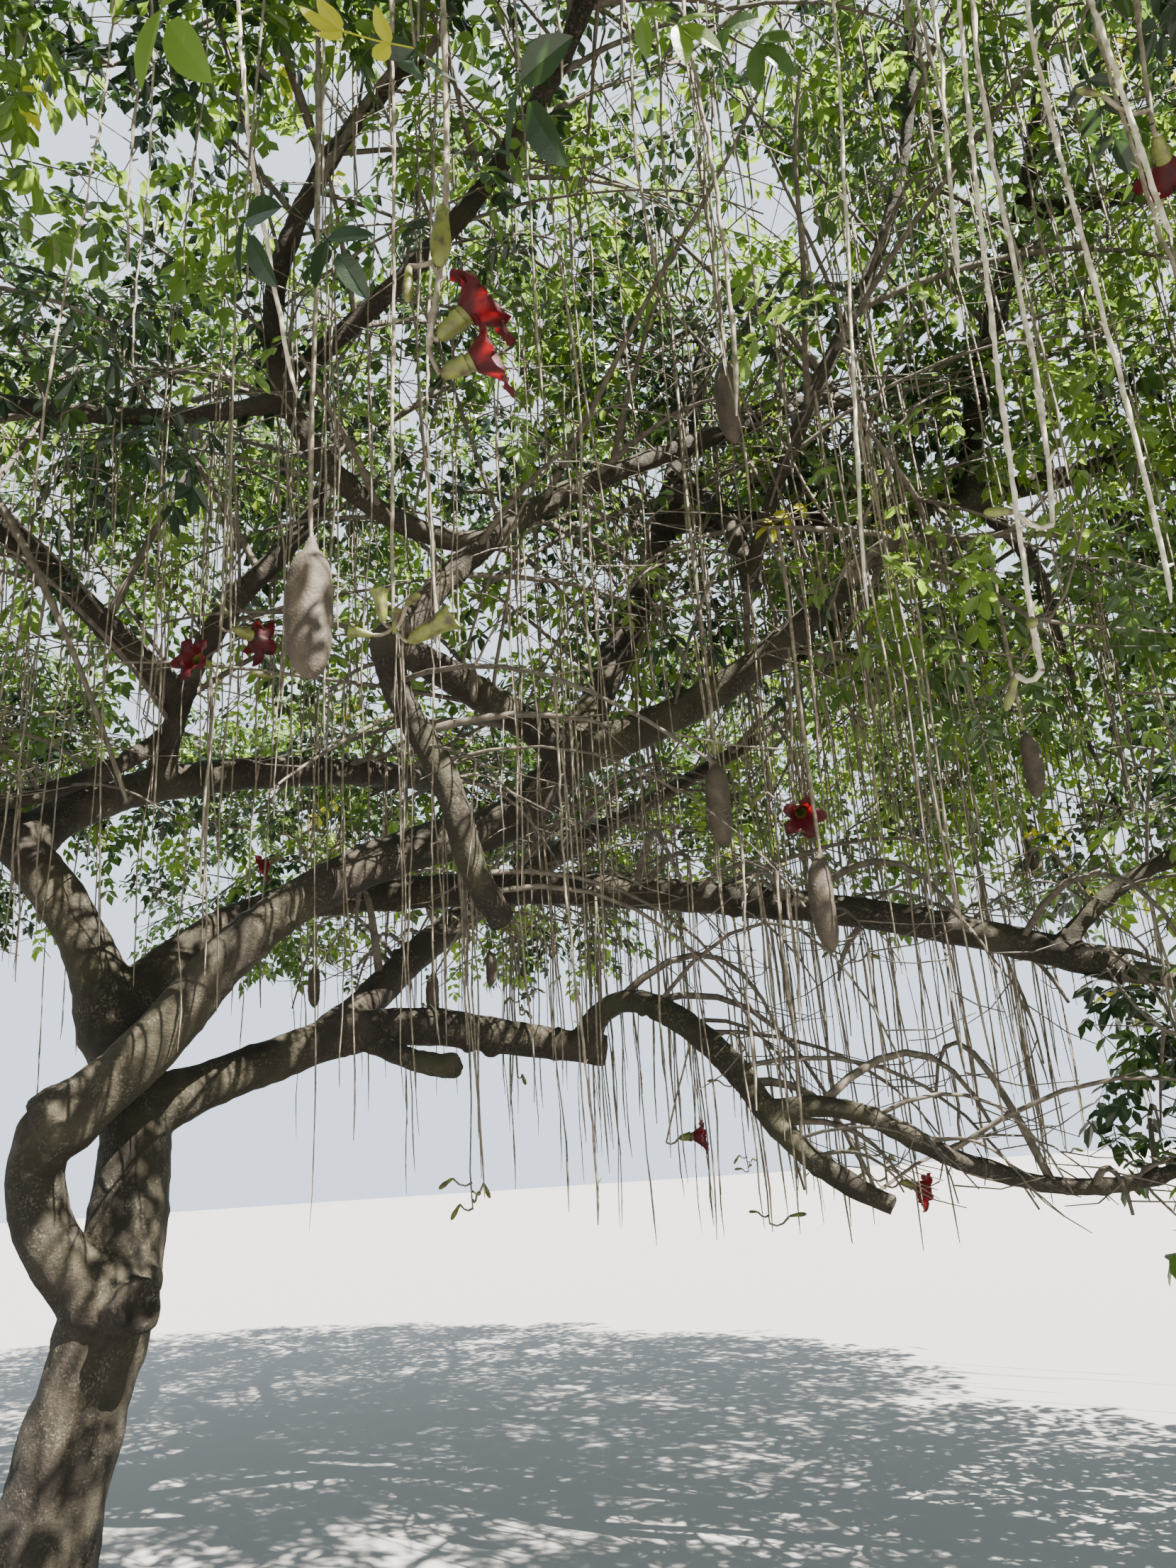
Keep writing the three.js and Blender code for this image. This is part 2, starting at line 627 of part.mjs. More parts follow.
// A leaf turns further round its twig until it fits, or else it is left out
function leavesOf(name, twigs) {
  const leaves = [];
  for (const twig of twigs) {
    LEAF_SHARES.forEach((share, index) => {
      const root = pointOn(twig.path, share);
      const along = directionOn(twig.path, share);
      const heading = Math.atan2(along.y, along.x) / DEGREE + LEAF_TURNS[index];
      const directions = LEAF_RETRIES.map((extra) => aim(heading + extra, LEAF_RISES[index]));
      const direction = directions.find((one) => leafFits(name, root, one, twig));
      if (!direction) return;
      leaves.push(leafSolid(root, direction));
      const rib = LEAF_RIB.map((part) => root.clone().addScaledVector(direction, LEAF.length * part));
      addRods(rib, () => LEAF_RIB_GIRTH / 2, name);
    });
  }
  return leaves;
}

function buildMasses() {
  const names = Object.keys(MASSES);
  const grown = {};
  for (const name of Object.keys(LIMBS)) {
    addRods(limbPaths[name], (share) => between(LIMBS[name].girth, share) / 2, name);
  }
  for (const name of names) {
    grown[name] = { stem: stemOf(name), random: randomSource(names.indexOf(name) + 1) };
    addRods(grown[name].stem.path, grown[name].stem.radiusAt, name);
  }
  for (const name of names) {
    const mass = grown[name];
    const shown = photographedFruits(name, mass.stem);
    mass.twigs = twigsOf(name, mass.stem, mass.random);
    const seeded = seededFruits(name, mass.twigs, mass.random);
    mass.fruits = shown.fruits.length ? shown.fruits : seeded;
    mass.twigs.push(...shown.twigs);
    for (const wood of [...mass.twigs, ...mass.fruits]) addRods(wood.path, wood.radiusAt, name);
  }
  const solids = {};
  for (const name of names) {
    const { stem, twigs, fruits } = grown[name];
    const pieces = [bentTube(stem.path, stem.radiusAt, STEM_SIDES, STEM_RINGS)];
    for (const { path, radiusAt } of twigs) pieces.push(bentTube(path, radiusAt, TWIG_SIDES, TWIG_RINGS));
    for (const { path, radiusAt } of fruits) {
      pieces.push(bentTube(path, radiusAt, FRUIT_SIDES, path.length - 1));
    }
    pieces.push(...leavesOf(name, twigs));
    solids[name] = largestBody(pieces.reduce((whole, piece) => whole.add(piece)));
  }
  return solids;
}

function addMeshes(tree, solids, look) {
  for (const [name, solid] of Object.entries(solids)) {
    const mesh = new THREE.Mesh(geometryFrom(solid), new THREE.MeshStandardMaterial(look));
    mesh.name = name;
    tree.add(mesh);
  }
}

const tree = new THREE.Group();
addMeshes(tree, buildLimbs(), BARK);
addMeshes(tree, buildMasses(), FOLIAGE);

export default tree;
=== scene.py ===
import math

import bpy
import numpy as np
from mathutils import Matrix, Vector, noise


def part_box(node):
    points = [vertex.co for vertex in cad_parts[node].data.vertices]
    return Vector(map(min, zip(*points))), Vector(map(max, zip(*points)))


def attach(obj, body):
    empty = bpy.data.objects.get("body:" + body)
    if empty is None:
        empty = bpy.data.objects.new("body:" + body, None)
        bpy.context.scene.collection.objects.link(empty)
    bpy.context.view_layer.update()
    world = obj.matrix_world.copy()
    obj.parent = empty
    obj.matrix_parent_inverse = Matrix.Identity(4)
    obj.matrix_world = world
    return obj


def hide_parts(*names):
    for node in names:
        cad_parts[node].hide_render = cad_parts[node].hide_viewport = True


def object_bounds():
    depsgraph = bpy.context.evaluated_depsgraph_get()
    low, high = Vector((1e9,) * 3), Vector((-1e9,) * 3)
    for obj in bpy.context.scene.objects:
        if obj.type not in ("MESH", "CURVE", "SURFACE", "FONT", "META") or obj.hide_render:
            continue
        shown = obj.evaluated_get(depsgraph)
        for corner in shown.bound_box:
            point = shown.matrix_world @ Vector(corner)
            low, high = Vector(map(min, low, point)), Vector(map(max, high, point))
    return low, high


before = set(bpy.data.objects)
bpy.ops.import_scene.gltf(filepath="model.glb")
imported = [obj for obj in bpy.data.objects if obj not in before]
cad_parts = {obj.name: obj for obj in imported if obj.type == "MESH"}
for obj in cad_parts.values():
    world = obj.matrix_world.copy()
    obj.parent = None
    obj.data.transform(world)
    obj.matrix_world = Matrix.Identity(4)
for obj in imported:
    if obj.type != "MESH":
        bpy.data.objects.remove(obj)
cad_low, cad_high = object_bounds()

# A sausage tree seen from under its crown. Lengths are in millimetres and angles in degrees
# until a mesh is made; +Z is up, +X to the right and +Y away from the camera.
MM = 0.001
UP = np.array([0.0, 0.0, 1.0])
FIRST_SIDE = np.array([0.31, 0.87, 0.38])
GOLDEN_ANGLE = 137.508
FULL_TURN = 6.28
SEEDS = {
    "bark": 101, "masses": 301, "sides": 211, "leaves": 7, "shown_leaves": 19, "carriers": 31,
    "ropes": 55, "hanging": 77,
}

# The box of the whole CAD object
BOX_LOW = np.array(cad_low) / MM
BOX_HIGH = np.array(cad_high) / MM

# The source's clearances
GAP = 0.3
CLEAR = 25
ROD_REACH = 450               # no rod further away than this is compared with a point

# The source's trunk and limbs
PATH_STEPS = 24
FLARE_GIRTH = 150
FLARE_HEIGHT = 210
FLARE_LOBES = 5
FLARE_LOBE_DEPTH = 0.1
KNOB = {"at": 0.48, "heading": -50, "rise": 4}

# The source's foliage
CROWN = {"centre": [1400, -200, 3300], "reach": [6500, 5600]}
HALL = {"centre": [1600, -1300, 900], "reach": [4400, 4500]}
TWIGS_PER_MASS = 5
TWIG_REACH = 0.74
TWIG_GIRTH = [36, 28]
TWIG_STARTS = [0.92, 0.35]
TWIG_RINGS = 2
TWIG_BEND = 0.3
TWIG_STRAIGHTENING = 0.4
TWIG_CHECKS = 14
TWIG_RETRIES = [0, 30, -30, 60, -60]
TWIG_DRAWN_IN = [1, 0.8, 0.6, 0.4]
STEM_RINGS = 4
STEM_COLLAR = 60
STEM_BEND = 0.5
STEM_GIRTH_SHARE = 0.85
STEM_TIP_GIRTH = 50
LEAF_SHARES = [0.5, 0.75, 1]
LEAF_TURNS = [60, -60, 0]
LEAF_RETRIES = [0, 40, -40, 80, -80, 120, -120, 180]
LEAF_RISES = [-42, -62, -28]
LEAF_CHECKS = [0.12, 0.25, 0.5, 0.75, 1]
LEAF_RIB = [0.3, 0.8]
LEAF_RIB_GIRTH = 260
LEAF = {"length": 980, "width": 520, "thick": 30, "sunk": 6}
FRUIT_TWIG_START = 0.6
STALK_GIRTH = 22
STALK_CHECKS = 16
FRUIT_CHANCE = 0.55
STALK_PLACE = 0.7
STALK_DROP = [900, 1900]
FRUIT_LENGTH = [280, 430]
FRUIT_SLENDERNESS = 0.34
FRUIT_HEIGHTS = [1, 0.7, 0.15, 0]
FRUIT_GIRTHS = [0.9, 1, 0.5]
LOWEST_FRUIT = 1500

LIMBS = {
    "trunk": {
        "length": 2450, "girth": [400, 380, 380, 330, 310], "knuckle": 175,
        "heading": [-30, 0, 90, 180], "rise": [80, 75, 80, 60],
    },
    "loop_limb": {
        "from": "trunk", "at": 0.5, "length": 850, "girth": [260, 225, 235], "knuckle": 120,
        "heading": [-120, -150, -180], "rise": [20, 65, 105],
    },
    "main_bough": {
        "from": "loop_limb", "at": 1, "length": 3200, "girth": [235, 230, 225, 225, 225],
        "knuckle": 140, "heading": [10, 10, 30, 30, -10], "rise": [30, 55, 30, 15, 60],
    },
    "right_riser": {
        "from": "main_bough", "at": 1, "length": 1750, "girth": [205, 165, 145],
        "heading": [-15, -35], "rise": [5, 35],
    },
    "centre_riser": {
        "from": "main_bough", "at": 1, "length": 2950, "girth": [190, 165, 140, 115],
        "heading": [5, 30, 0], "rise": [60, 70, 75],
    },
    "far_right_limb": {
        "from": "centre_riser", "at": 0.57, "length": 3000, "girth": [140, 130, 105],
        "heading": [-5, -15], "rise": [-10, 10],
    },
    "tall_right_limb": {
        "from": "far_right_limb", "at": 0.6, "length": 2300, "girth": [130, 130, 100],
        "heading": [-90, -45, -85], "rise": [65, 60, 60],
    },
    "knuckle_limb": {
        "from": "centre_riser", "at": 0.62, "length": 1450, "girth": [105, 100, 110],
        "heading": [-75, -60], "rise": [-15, -85],
    },
    "water_shoot": {
        "from": "knuckle_limb", "at": 0.96, "length": 3000, "girth": [80, 70, 60],
        "heading": [-75, -15, -90], "rise": [45, 60, 75],
    },
    "left_riser": {
        "from": "main_bough", "at": 1, "length": 1300, "girth": [180, 155], "knuckle": 88,
        "heading": [-130, -130], "rise": [15, 10],
    },
    "pendant_limb": {
        "from": "left_riser", "at": 1, "length": 1500, "girth": [130, 140, 130],
        "heading": [-60, 0, 60, 45], "rise": [-85, -60, -70, -45],
    },
    "cross_limb": {
        "from": "left_riser", "at": 0.97, "length": 2950, "girth": [130, 120, 95],
        "heading": [20, 20, 5], "rise": [60, 30, 20],
    },
    "tall_left_limb": {
        "from": "cross_limb", "at": 0.26, "length": 3000, "girth": [110, 100, 80],
        "heading": [190, 225, 330, 345], "rise": [0, 45, 60, 30],
    },
    "tall_left_fork": {
        "from": "tall_left_limb", "at": 0.43, "length": 3700, "girth": [95, 90, 70],
        "heading": [0, -60, -95], "rise": [45, 5, -30],
    },
    "flat_left_limb": {
        "from": "tall_left_limb", "at": 0.41, "length": 3700, "girth": [85, 70, 60],
        "heading": [170, 240, 270], "rise": [-5, -10, -5],
    },
    "middle_bough": {
        "from": "trunk", "at": 1, "length": 5350, "girth": [240, 195, 170, 160, 125],
        "heading": [40, 15, -20, -25, -30], "rise": [60, 5, -10, -15, -25],
    },
    "middle_fork": {
        "from": "middle_bough", "at": 0.95, "length": 1750, "girth": [80, 70, 55],
        "heading": [-30, -10, 30], "rise": [50, 5, 30],
    },
    "lower_bough": {
        "from": "trunk", "at": 0.82, "length": 2400, "girth": [215, 195, 190, 170],
        "heading": [20, 20, 20, 5], "rise": [20, 20, -10, -10],
    },
    "arching_limb": {
        "from": "lower_bough", "at": 0.95, "length": 2150, "girth": [120, 125, 110, 85],
        "heading": [-65, -40, -45, -5], "rise": [50, -30, -55, -25],
    },
    "arching_fork": {
        "from": "arching_limb", "at": 0.7, "length": 1700, "girth": [90, 80, 60],
        "heading": [-30, -10, -25, -20], "rise": [15, -35, -15, 20],
    },
    "rear_bough": {
        "from": "lower_bough", "at": 0.4, "length": 4000, "girth": [185, 165, 120, 90],
        "heading": [60, 40, 10], "rise": [40, 30, 30],
    },
    "pruned_stub": {
        "from": "lower_bough", "at": 0.47, "length": 700, "girth": [130, 105, 120],
        "heading": [-45, -35], "rise": [-35, -5],
    },
    "left_bough": {
        "from": "trunk", "at": 1, "length": 4100, "girth": [235, 205, 160, 110],
        "heading": [-135, -205, -180], "rise": [75, 20, 35],
    },
    "left_cross_limb": {
        "from": "left_bough", "at": 0.25, "length": 4700, "girth": [195, 185, 145, 100],
        "heading": [75, 20, 90, 120], "rise": [45, 5, 15, 20],
    },
    "inner_riser": {
        "from": "left_cross_limb", "at": 0.2, "length": 3100, "girth": [130, 115, 100, 75],
        "heading": [-55, -40, 60, 150], "rise": [60, 30, 75, 40],
    },
    "upper_left_limb": {
        "from": "inner_riser", "at": 0.16, "length": 2950, "girth": [150, 145, 115],
        "heading": [-120, -135], "rise": [30, 30],
    },
    "low_left_limb": {
        "from": "inner_riser", "at": 0.1, "length": 4300, "girth": [95, 85, 65],
        "heading": [-125, -130, -150], "rise": [-45, 0, 10],
    },
    "upper_right_limb": {
        "from": "tall_right_limb", "at": 0.7, "length": 2100, "girth": [100, 90, 75],
        "heading": [-10, -30, -110], "rise": [-5, -10, -15],
    },
    "back_left_limb": {
        "from": "left_bough", "at": 0.52, "length": 3000, "girth": [125, 105, 80],
        "heading": [120, 100, 115], "rise": [25, 20, 10],
    },
    "back_right_limb": {
        "from": "rear_bough", "at": 0.55, "length": 2500, "girth": [115, 95, 75],
        "heading": [110, 95, 80], "rise": [15, 25, 5],
    },
    "right_back_limb": {
        "from": "far_right_limb", "at": 0.6, "length": 2300, "girth": [90, 80, 60],
        "heading": [35, 65, 60], "rise": [-20, -5, -10],
    },
    "front_right_limb": {
        "from": "upper_right_limb", "at": 0.5, "length": 2300, "girth": [80, 70, 55],
        "heading": [-80, -110, -125], "rise": [-20, -10, -10],
    },
    "front_left_limb": {
        "from": "flat_left_limb", "at": 0.66, "length": 1900, "girth": [65, 60, 50],
        "heading": [-45, -70, -60], "rise": [-5, 5, -5],
    },
}

# The source's masses: the limb whose tip each grows from, its centre, its reach sideways and
# upwards, and whether it hangs inside the hall
MASSES = {
    "top_foliage": ("centre_riser", [2900, 1500, 7150], [2200, 1500], False),
    "inner_foliage": ("inner_riser", [-200, 1400, 6850], [2200, 1600], False),
    "upper_left_foliage": ("upper_left_limb", [-1800, -1900, 6050], [2100, 1600], False),
    "tall_left_foliage": ("tall_left_limb", [1600, -2400, 7000], [2200, 1500], False),
    "shoot_foliage": ("water_shoot", [4100, -2300, 6800], [2000, 1500], False),
    "tall_right_foliage": ("tall_right_limb", [5300, -300, 7200], [2000, 1400], False),
    "far_right_foliage": ("far_right_limb", [6400, 100, 4900], [1900, 1700], False),
    "right_back_foliage": ("right_back_limb", [5800, 2600, 4400], [2000, 1800], False),
    "rear_foliage": ("rear_bough", [4000, 3800, 5000], [2000, 1800], False),
    "back_right_foliage": ("back_right_limb", [2000, 4700, 4700], [1900, 1900], False),
    "back_foliage": ("left_cross_limb", [-200, 4300, 4700], [1900, 1900], False),
    "back_left_foliage": ("back_left_limb", [-2500, 3000, 4900], [2000, 1900], False),
    "left_foliage": ("left_bough", [-3500, 500, 4700], [2000, 1900], False),
    "low_left_foliage": ("low_left_limb", [-3100, -2500, 4100], [2000, 1900], False),
    "flat_left_foliage": ("flat_left_limb", [-1300, -4300, 4700], [1900, 1700], False),
    "front_left_foliage": ("front_left_limb", [900, -5100, 4800], [1700, 1600], False),
    "front_foliage": ("tall_left_fork", [2900, -5000, 4900], [1700, 1600], False),
    "front_right_foliage": ("front_right_limb", [5000, -4000, 4700], [1900, 1800], False),
    "upper_right_foliage": ("upper_right_limb", [6400, -2100, 5200], [1900, 1800], False),
    "right_riser_foliage": ("right_riser", [4300, -500, 4300], [1100, 1100], True),
    "cross_foliage": ("cross_limb", [4300, 700, 5700], [1400, 1000], True),
    "middle_foliage": ("middle_bough", [5400, -1300, 2500], [1300, 1100], True),
    "middle_fork_foliage": ("middle_fork", [6400, 0, 3100], [1300, 1100], True),
    "arching_foliage": ("arching_fork", [5500, -500, 1700], [1300, 900], True),
}
MASS_NAMES = list(MASSES)

# The source's fruits that show: mass, top of the stalk, height of the foot, length, girth
FRUITS = [
    ("tall_left_foliage", [1650, -2200, 6900], 3050, 420, 160),
    ("cross_foliage", [3050, -400, 6400], 2900, 370, 120),
    ("tall_left_foliage", [3200, -1050, 6700], 4550, 400, 115),
    ("inner_foliage", [-150, 300, 6300], 5250, 290, 110),
    ("inner_foliage", [950, 100, 6400], 4900, 350, 110),
    ("right_riser_foliage", [3400, -750, 4300], 2350, 380, 110),
    ("right_riser_foliage", [4350, -700, 4200], 2950, 270, 90),
    ("upper_left_foliage", [-1100, -2300, 5900], 3500, 360, 130),
]

# Camera: under the crown's edge, looking up
CAMERA_PLACE = [2460, -5310, 1650]
CAMERA_PITCH = 18.0
CAMERA_ROLL = 3.8
FOCAL_PIXELS = 1597.0
IMAGE = (1659, 2212)
SENSOR = 36
CLIP_END = 200                # in metres

# Sun, sky and floor; the floor's size and height are in metres
SUN_FROM = [0.5, -0.42, 0.76]
SUN = {"energy": 52.0, "angle": 0.35, "colour": (1.0, 0.95, 0.86)}
SKY = {"strength": 1.9, "colour": (0.74, 0.86, 1.0, 1)}
FLOOR = {"half": 60, "height": -0.002, "colour": (0.21, 0.205, 0.195, 1), "roughness": 0.95}

# Bark. The skin is made of tubes and balls, fused on a grid of voxels, softened and thinned
BARK_VOXEL = 12.5
BARK_SOFTENING = {"factor": 0.5, "rounds": 3}
BARK_TRIANGLES = 170000
BARK_FOOT_DEPTH = 60          # how far the skin goes on below ground before it is cut level
LIMB_SIDES = 18
LIMB_RING = 30
COLLAR = {"start": 0.8, "height": 0.16, "fade": 0.55}  # where a limb swells out of another
LUMP_SIZE = 210
LUMP_HEIGHT = 0.088
LUMP_OFFSET = [124, 228, 52]
OVAL = {"depth": 0.045, "twist": 420}                  # a limb's section is a little oval
CORNERS = {"depth": 0.03, "twist": 1.7}                # with three soft corners
SCAR_SPACING = [90, 330]
SCAR_HEIGHT = 6.5
SCAR_SIZE = 0.4
SCAR_WIDTH = 13.0
FINE_RELIEF = [(110, 5.0), (48, 4.5), (26, 2.6)]       # the size of its lumps and their height
KNUCKLE_SHARE = 0.97
BALL_RINGS = 7
BALL_SIDES = 14
KNOTS_PER_METRE = 1.1
KNOT = {"from": 0.12, "over": 0.84, "rise": [-40, 40], "size": 0.16, "spread": 0.12, "sunk": 0.45}

# The pruned knob's rings, out along it to the rim and back into its hollow scar: the distance
# and the radius of each. The bulb is the swelling of the trunk under it.
KNOB_RINGS = [
    (0, 150), (80, 142), (160, 133), (230, 128), (280, 118), (310, 112), (335, 116), (352, 121),
    (372, 118), (390, 106), (398, 90), (392, 72), (376, 58), (366, 36), (362, 8),
]
KNOB_SIDES = 28
KNOB_SHARE = 0.86             # of those radii, so that the rim stays within the source's knob
KNOB_WOBBLE = [(3, 0.05, 0.6), (7, 0.03, 0)]           # waves round it: how many, high, turned
KNOB_STRETCH = {"upright": 1.06, "level": 0.98}
BULB = {"beyond": 0.02, "heading": -85, "rise": -4, "out": 85, "radius": 200}

# Finer growth. A mass's finer twigs end on shells: the share of its reach and the number of twigs
SHELLS = [(0.94, 34), (0.64, 15), (0.34, 5)]
INNER_SHARE = 0.42            # of that number, in a mass inside the hall
SHELL_DRAWN_IN = [1, 0.86, 0.72, 0.58]
SPACE_MARGIN = 8
NODE_MARGIN = 70
HEART = {"edge": 0.62, "fade": 0.3, "bare": 0.4}   # the crown's middle has fewer leaves
BRANCHLET_STARTS = [0.25, 0.4, 0.55, 0.7, 0.85, 1]
BRANCHLET_BEND = {"along": 0.35, "up": 0.12, "sideways": 0.25}
BRANCHLET_GIRTH = [19, 9]
BRANCHLET_RINGS = 5
TWIGLET_PLACES = [0.45, 0.68, 0.88]
TWIGLET_AIM = {"turn": 60, "uneven": 40, "lowest": -25, "rise": 50}
TWIGLET_LENGTH = [250, 460]
TWIGLET_GIRTH = [9, 5]
TWIGLET_RINGS = 3
TWIGLET_BEND = {"straight": 0.5, "along": 0.18}
STEM_MESH = {"rings": 9, "sides": 8}
TWIG_MESH = {"rings": 7, "sides": 6}
TWIG_TIP = 0.5
BRANCHLET_SIDES = 4
SIDE_SIDES = 5
TWIGLET_SIDES = 3

# Leaves grow in whorls: the place along a twig and the number of leaves
TWIGLET_WHORLS = [(0.6, 2), (1, 3)]
BRANCHLET_WHORLS = [(0.8, 2), (1, 3)]
SPRAY_WHORLS = [(0.45, 2), (0.72, 2), (1, 3)]
SIDE_WHORLS = [(0.7, 2), (1, 3)]
TIP_WHORL = [(1, 3)]
WHORL = {"turn": 40, "uneven": 30, "rise": [-14, -50], "forward": [0.35, 0.85]}
LEAF_SIZE = {"least": 0.74, "spread": 0.46}
LEAF_TIP = 1.25               # a leaf's length with its last leaflet, in lengths of its rib
LEAF_ROLL = 1.1
BLADE_LENGTH = 270
LEAFLET = 90
LEAFLET_PAIRS = 3
LEAFLET_PLACES = [0.32, 0.94]
LEAFLET_SIZE = {"first": 0.76, "growth": 0.34, "width": 0.48, "least": 0.9, "spread": 0.2}
LEAFLET_AIM = {"angle": 68, "forward": 18, "tilt": -14}
LEAFLET_SHAKE = {"angle": 14, "tilt": 36, "roll": 70}
TIP_LEAFLET = {"length": 1.15, "width": 0.55, "angle": 12, "droop": 80}
RIB_HALF_WIDTH = 2.2
LEAF_DROOPS = [0.05, 0.12, 0.2, 0.28]
KIND_SHUFFLE = 97
NEAR_LEAF = 2900              # leaves nearer to the eye than this have the most faces
FAR_LEAF = 6200               # and those beyond this the fewest

# Half a leaflet's outline: the places along it, the half width and the lift, as shares of the
# length and the width. The near one's halves rise from a midrib that droops.
LEAFLET_EDGES = {"middle": [(0.32, 0.5, 0.1), (0.74, 0.4, 0.04)], "far": [(0.48, 0.6, 0.12)]}
LEAFLET_DIP = 0.1
NEAR_LEAFLET = {
    "half": [(0, 0), (0.16, 0.36), (0.38, 0.5), (0.62, 0.47), (0.85, 0.27), (1, 0)],
    "droop": 0.12, "fold": 0.26,
}

# Each of the source's large leaves stands for a spray: a twig with twiglets to both sides
SPRAY = {"length": 0.8, "bend": 0.4, "rise": 60, "twiglet": 260}
SPRAY_AIM = {"sideways": 0.75, "forward": 0.6, "up": 0.1}
SPRAY_TWIGLETS = [(1, 0.3), (-1, 0.5), (1, 0.7)]   # the side and the place along the twig

# Thin side branches all along the limbs; only high up and far to the right have they leaves
SIDE_SPACING = 115
SIDE_PLACES = {"from": 0.1, "over": 0.86}
SIDE_LENGTH = [550, 2200]
SIDE_GIRTH = [22, 8]
SIDE_STOUTNESS = [0.75, 2.4]
SIDE_RINGS = 8
SIDE_SHORTNESS = 1.4          # the higher, the more of them are short
SIDE_THINNESS = 2.2           # and the more are thin
SIDE_RETRY = {"tries": 5, "turn": 70, "shorter": 0.1}
SIDE_THICKEST = 180           # girth of a limb above which it bears none
SIDE_LEAFY = {"share": 0.72, "height": 4300, "right": 5300}
SIDE_LOWEST = {"left": 2500, "right": 1300, "parted": 3000}
SIDE_AIM = {"lowest": -5, "rise": 30, "square": 0.7, "forward": 0.55}
SIDE_ARCH = {"at": 0.55, "least": 0.02, "spread": 0.2}
SIDE_DROOP = {"least": -0.08, "spread": 0.35}
SIDE_LOW = {"below": 3800, "over": 1400, "shorter": 0.25, "droop": 0.35}
SIDE_WAVE = {"length": 9, "height": 0.012}
SIDE_TWIGLETS = {
    "places": [0.4, 0.58, 0.74, 0.9], "turn": 50, "uneven": 40, "lowest": -35, "rise": 50,
    "leafy": 0.7, "longer": 1.7,
}
TWIGLET_HANG = 150            # how far a twiglet may end below the lowest side branch
SIDE_GAP = 20
SIDE_FREE = 1300              # no side branch comes nearer to the eye than this
SIDE_MARGIN = 60              # between a side branch and the whole object's box
BARE_LIMBS = ["trunk", "loop_limb", "pruned_stub"]

# Most leaves that would hide a limb from the eye, or shade its bright patches, are left out
LIMB_SAMPLES = 60
SIGHT = {"bare": 0.85, "margin": 85, "nearer": 250, "least": 1000}
SUN_PATCHES = {"bare": 0.9, "margin": 70, "above": 200, "size": 330}
SUNNY_LIMBS = [
    "main_bough", "left_bough", "middle_bough", "lower_bough", "arching_limb", "arching_fork",
    "right_riser", "left_riser", "pendant_limb", "cross_limb",
]

# Leaves are dealt out by tone: the tone that each kind goes up to, its dark and light colours,
# the colour and the share of the light that comes through, and its roughness
LEAF_LOOKS = {
    "fresh": (0.38, (0.034, 0.064, 0.010), (0.068, 0.116, 0.018), (0.24, 0.38, 0.035), 0.40, 0.36),
    "green": (0.69, (0.014, 0.031, 0.007), (0.030, 0.058, 0.012), (0.10, 0.19, 0.022), 0.34, 0.32),
    "deep": (0.965, (0.006, 0.014, 0.006), (0.014, 0.028, 0.011), (0.028, 0.062, 0.012), 0.25, 0.3),
    "yellow": (2, (0.20, 0.20, 0.012), (0.31, 0.30, 0.020), (0.58, 0.56, 0.035), 0.5, 0.45),
}
SPRAY_TONE = 0.86             # how much of a leaf's tone is that of its spray
SHOWN_LEAF = {"bend": 0.15, "stoutness": 0.6, "droop": 0.1, "roll": 1.3, "spread": 0.4}
BLACK = (0.0, 0.0, 0.0)
WHITE = (1.0, 1.0, 1.0)

# The dark and the light colour of thin wood and stalks, and the scale of their grain
WOOD_LOOKS = {
    "twig_bark": ((0.032, 0.025, 0.017), (0.115, 0.096, 0.070), 22.0),
    "stalk": ((0.050, 0.039, 0.026), (0.215, 0.183, 0.130), 30.0),
    # A paler copy of the stalk colours for the stalks that show near the eye: the paleness is
    # painted sunlight
    "sun_painted_stalk": ((0.17, 0.145, 0.10), (0.58, 0.53, 0.42), 30.0),
}

# Hanging flower stalks
ROPE_COUNT = 1550
ROPE_DROP = [600, 3000]
ROPE_GIRTH = [8, 13]
ROPE_SHORTEST = 350
ROPE_SHORTNESS = 1.7          # the higher, the more of them are short
ROPE_LEAN = 0.05
ROPE_CHECKS = [0.15, 1, 12]   # from this share of the drop to that, at so many points
ROPE_GAP = 24
ROPE_RINGS = 6
ROPE_WAVE = {"waves": [3, 9], "height": 0.009}
ROPE_KINK = {"most": 9, "rings": 5}
ROPE_GIRTHS = {"least": 0.8, "chance": 0.34, "joint": 0.55, "between": 0.12}
ROPE_TOP = {"thicker": 0.3, "fade": 25}
PEG = {"turn": [90, 150], "rise": [15, 55], "least": 5, "length": 0.3, "radii": [0.4, 0.2]}
PEG_SIDES = 3
CLOSE_ROPE = {"distance": 3300, "ring": 22, "sides": 6, "pegs": 44}
NEAR_ROPE = {"distance": 4700, "ring": 60, "sides": 4, "pegs": 120}
FAR_ROPE = {"ring": 135, "sides": 3}
ROPE_FREE = 2300              # no seeded stalk hangs nearer to the eye than this
ROPE_TIP = 0.4                # the last ring of a bare stalk, as a share of its girth
FLOWER_TIP = 0.9              # and of one that ends in buds or flowers
FLOWER_EVERY = 18             # one seeded stalk in so many ends in buds or flowers
FLOWERS_BEYOND = 5600         # and only further from the eye than this
FLOWER_CHANCE = 0.08          # about how often such an end has an open flower
SEEDED_BUDS = 4               # the most buds that it has
BLOOM_GIRTH = 12
SHOWN_GIRTH = 13
LOWEST_ROPE = [1300, 2700]
LOWEST_FAR_ROPE = [1050, 1900]
FAR_RIGHT = {"x": 2200, "y": 0, "drop": 1.5}       # where stalks hang longer and lower

# What stalks hang from: how many places on a twig or stem, a limb and a side branch, where those
# are along it, the limbs that are thin enough, how far above a place, and what a climb costs
CARRIERS = {"twig": 8, "limb": 12, "side": 6, "thickest": 120, "above": 120, "climb": 0.25}
CARRIER_PLACES = {"from": 0.3, "over": 0.68}

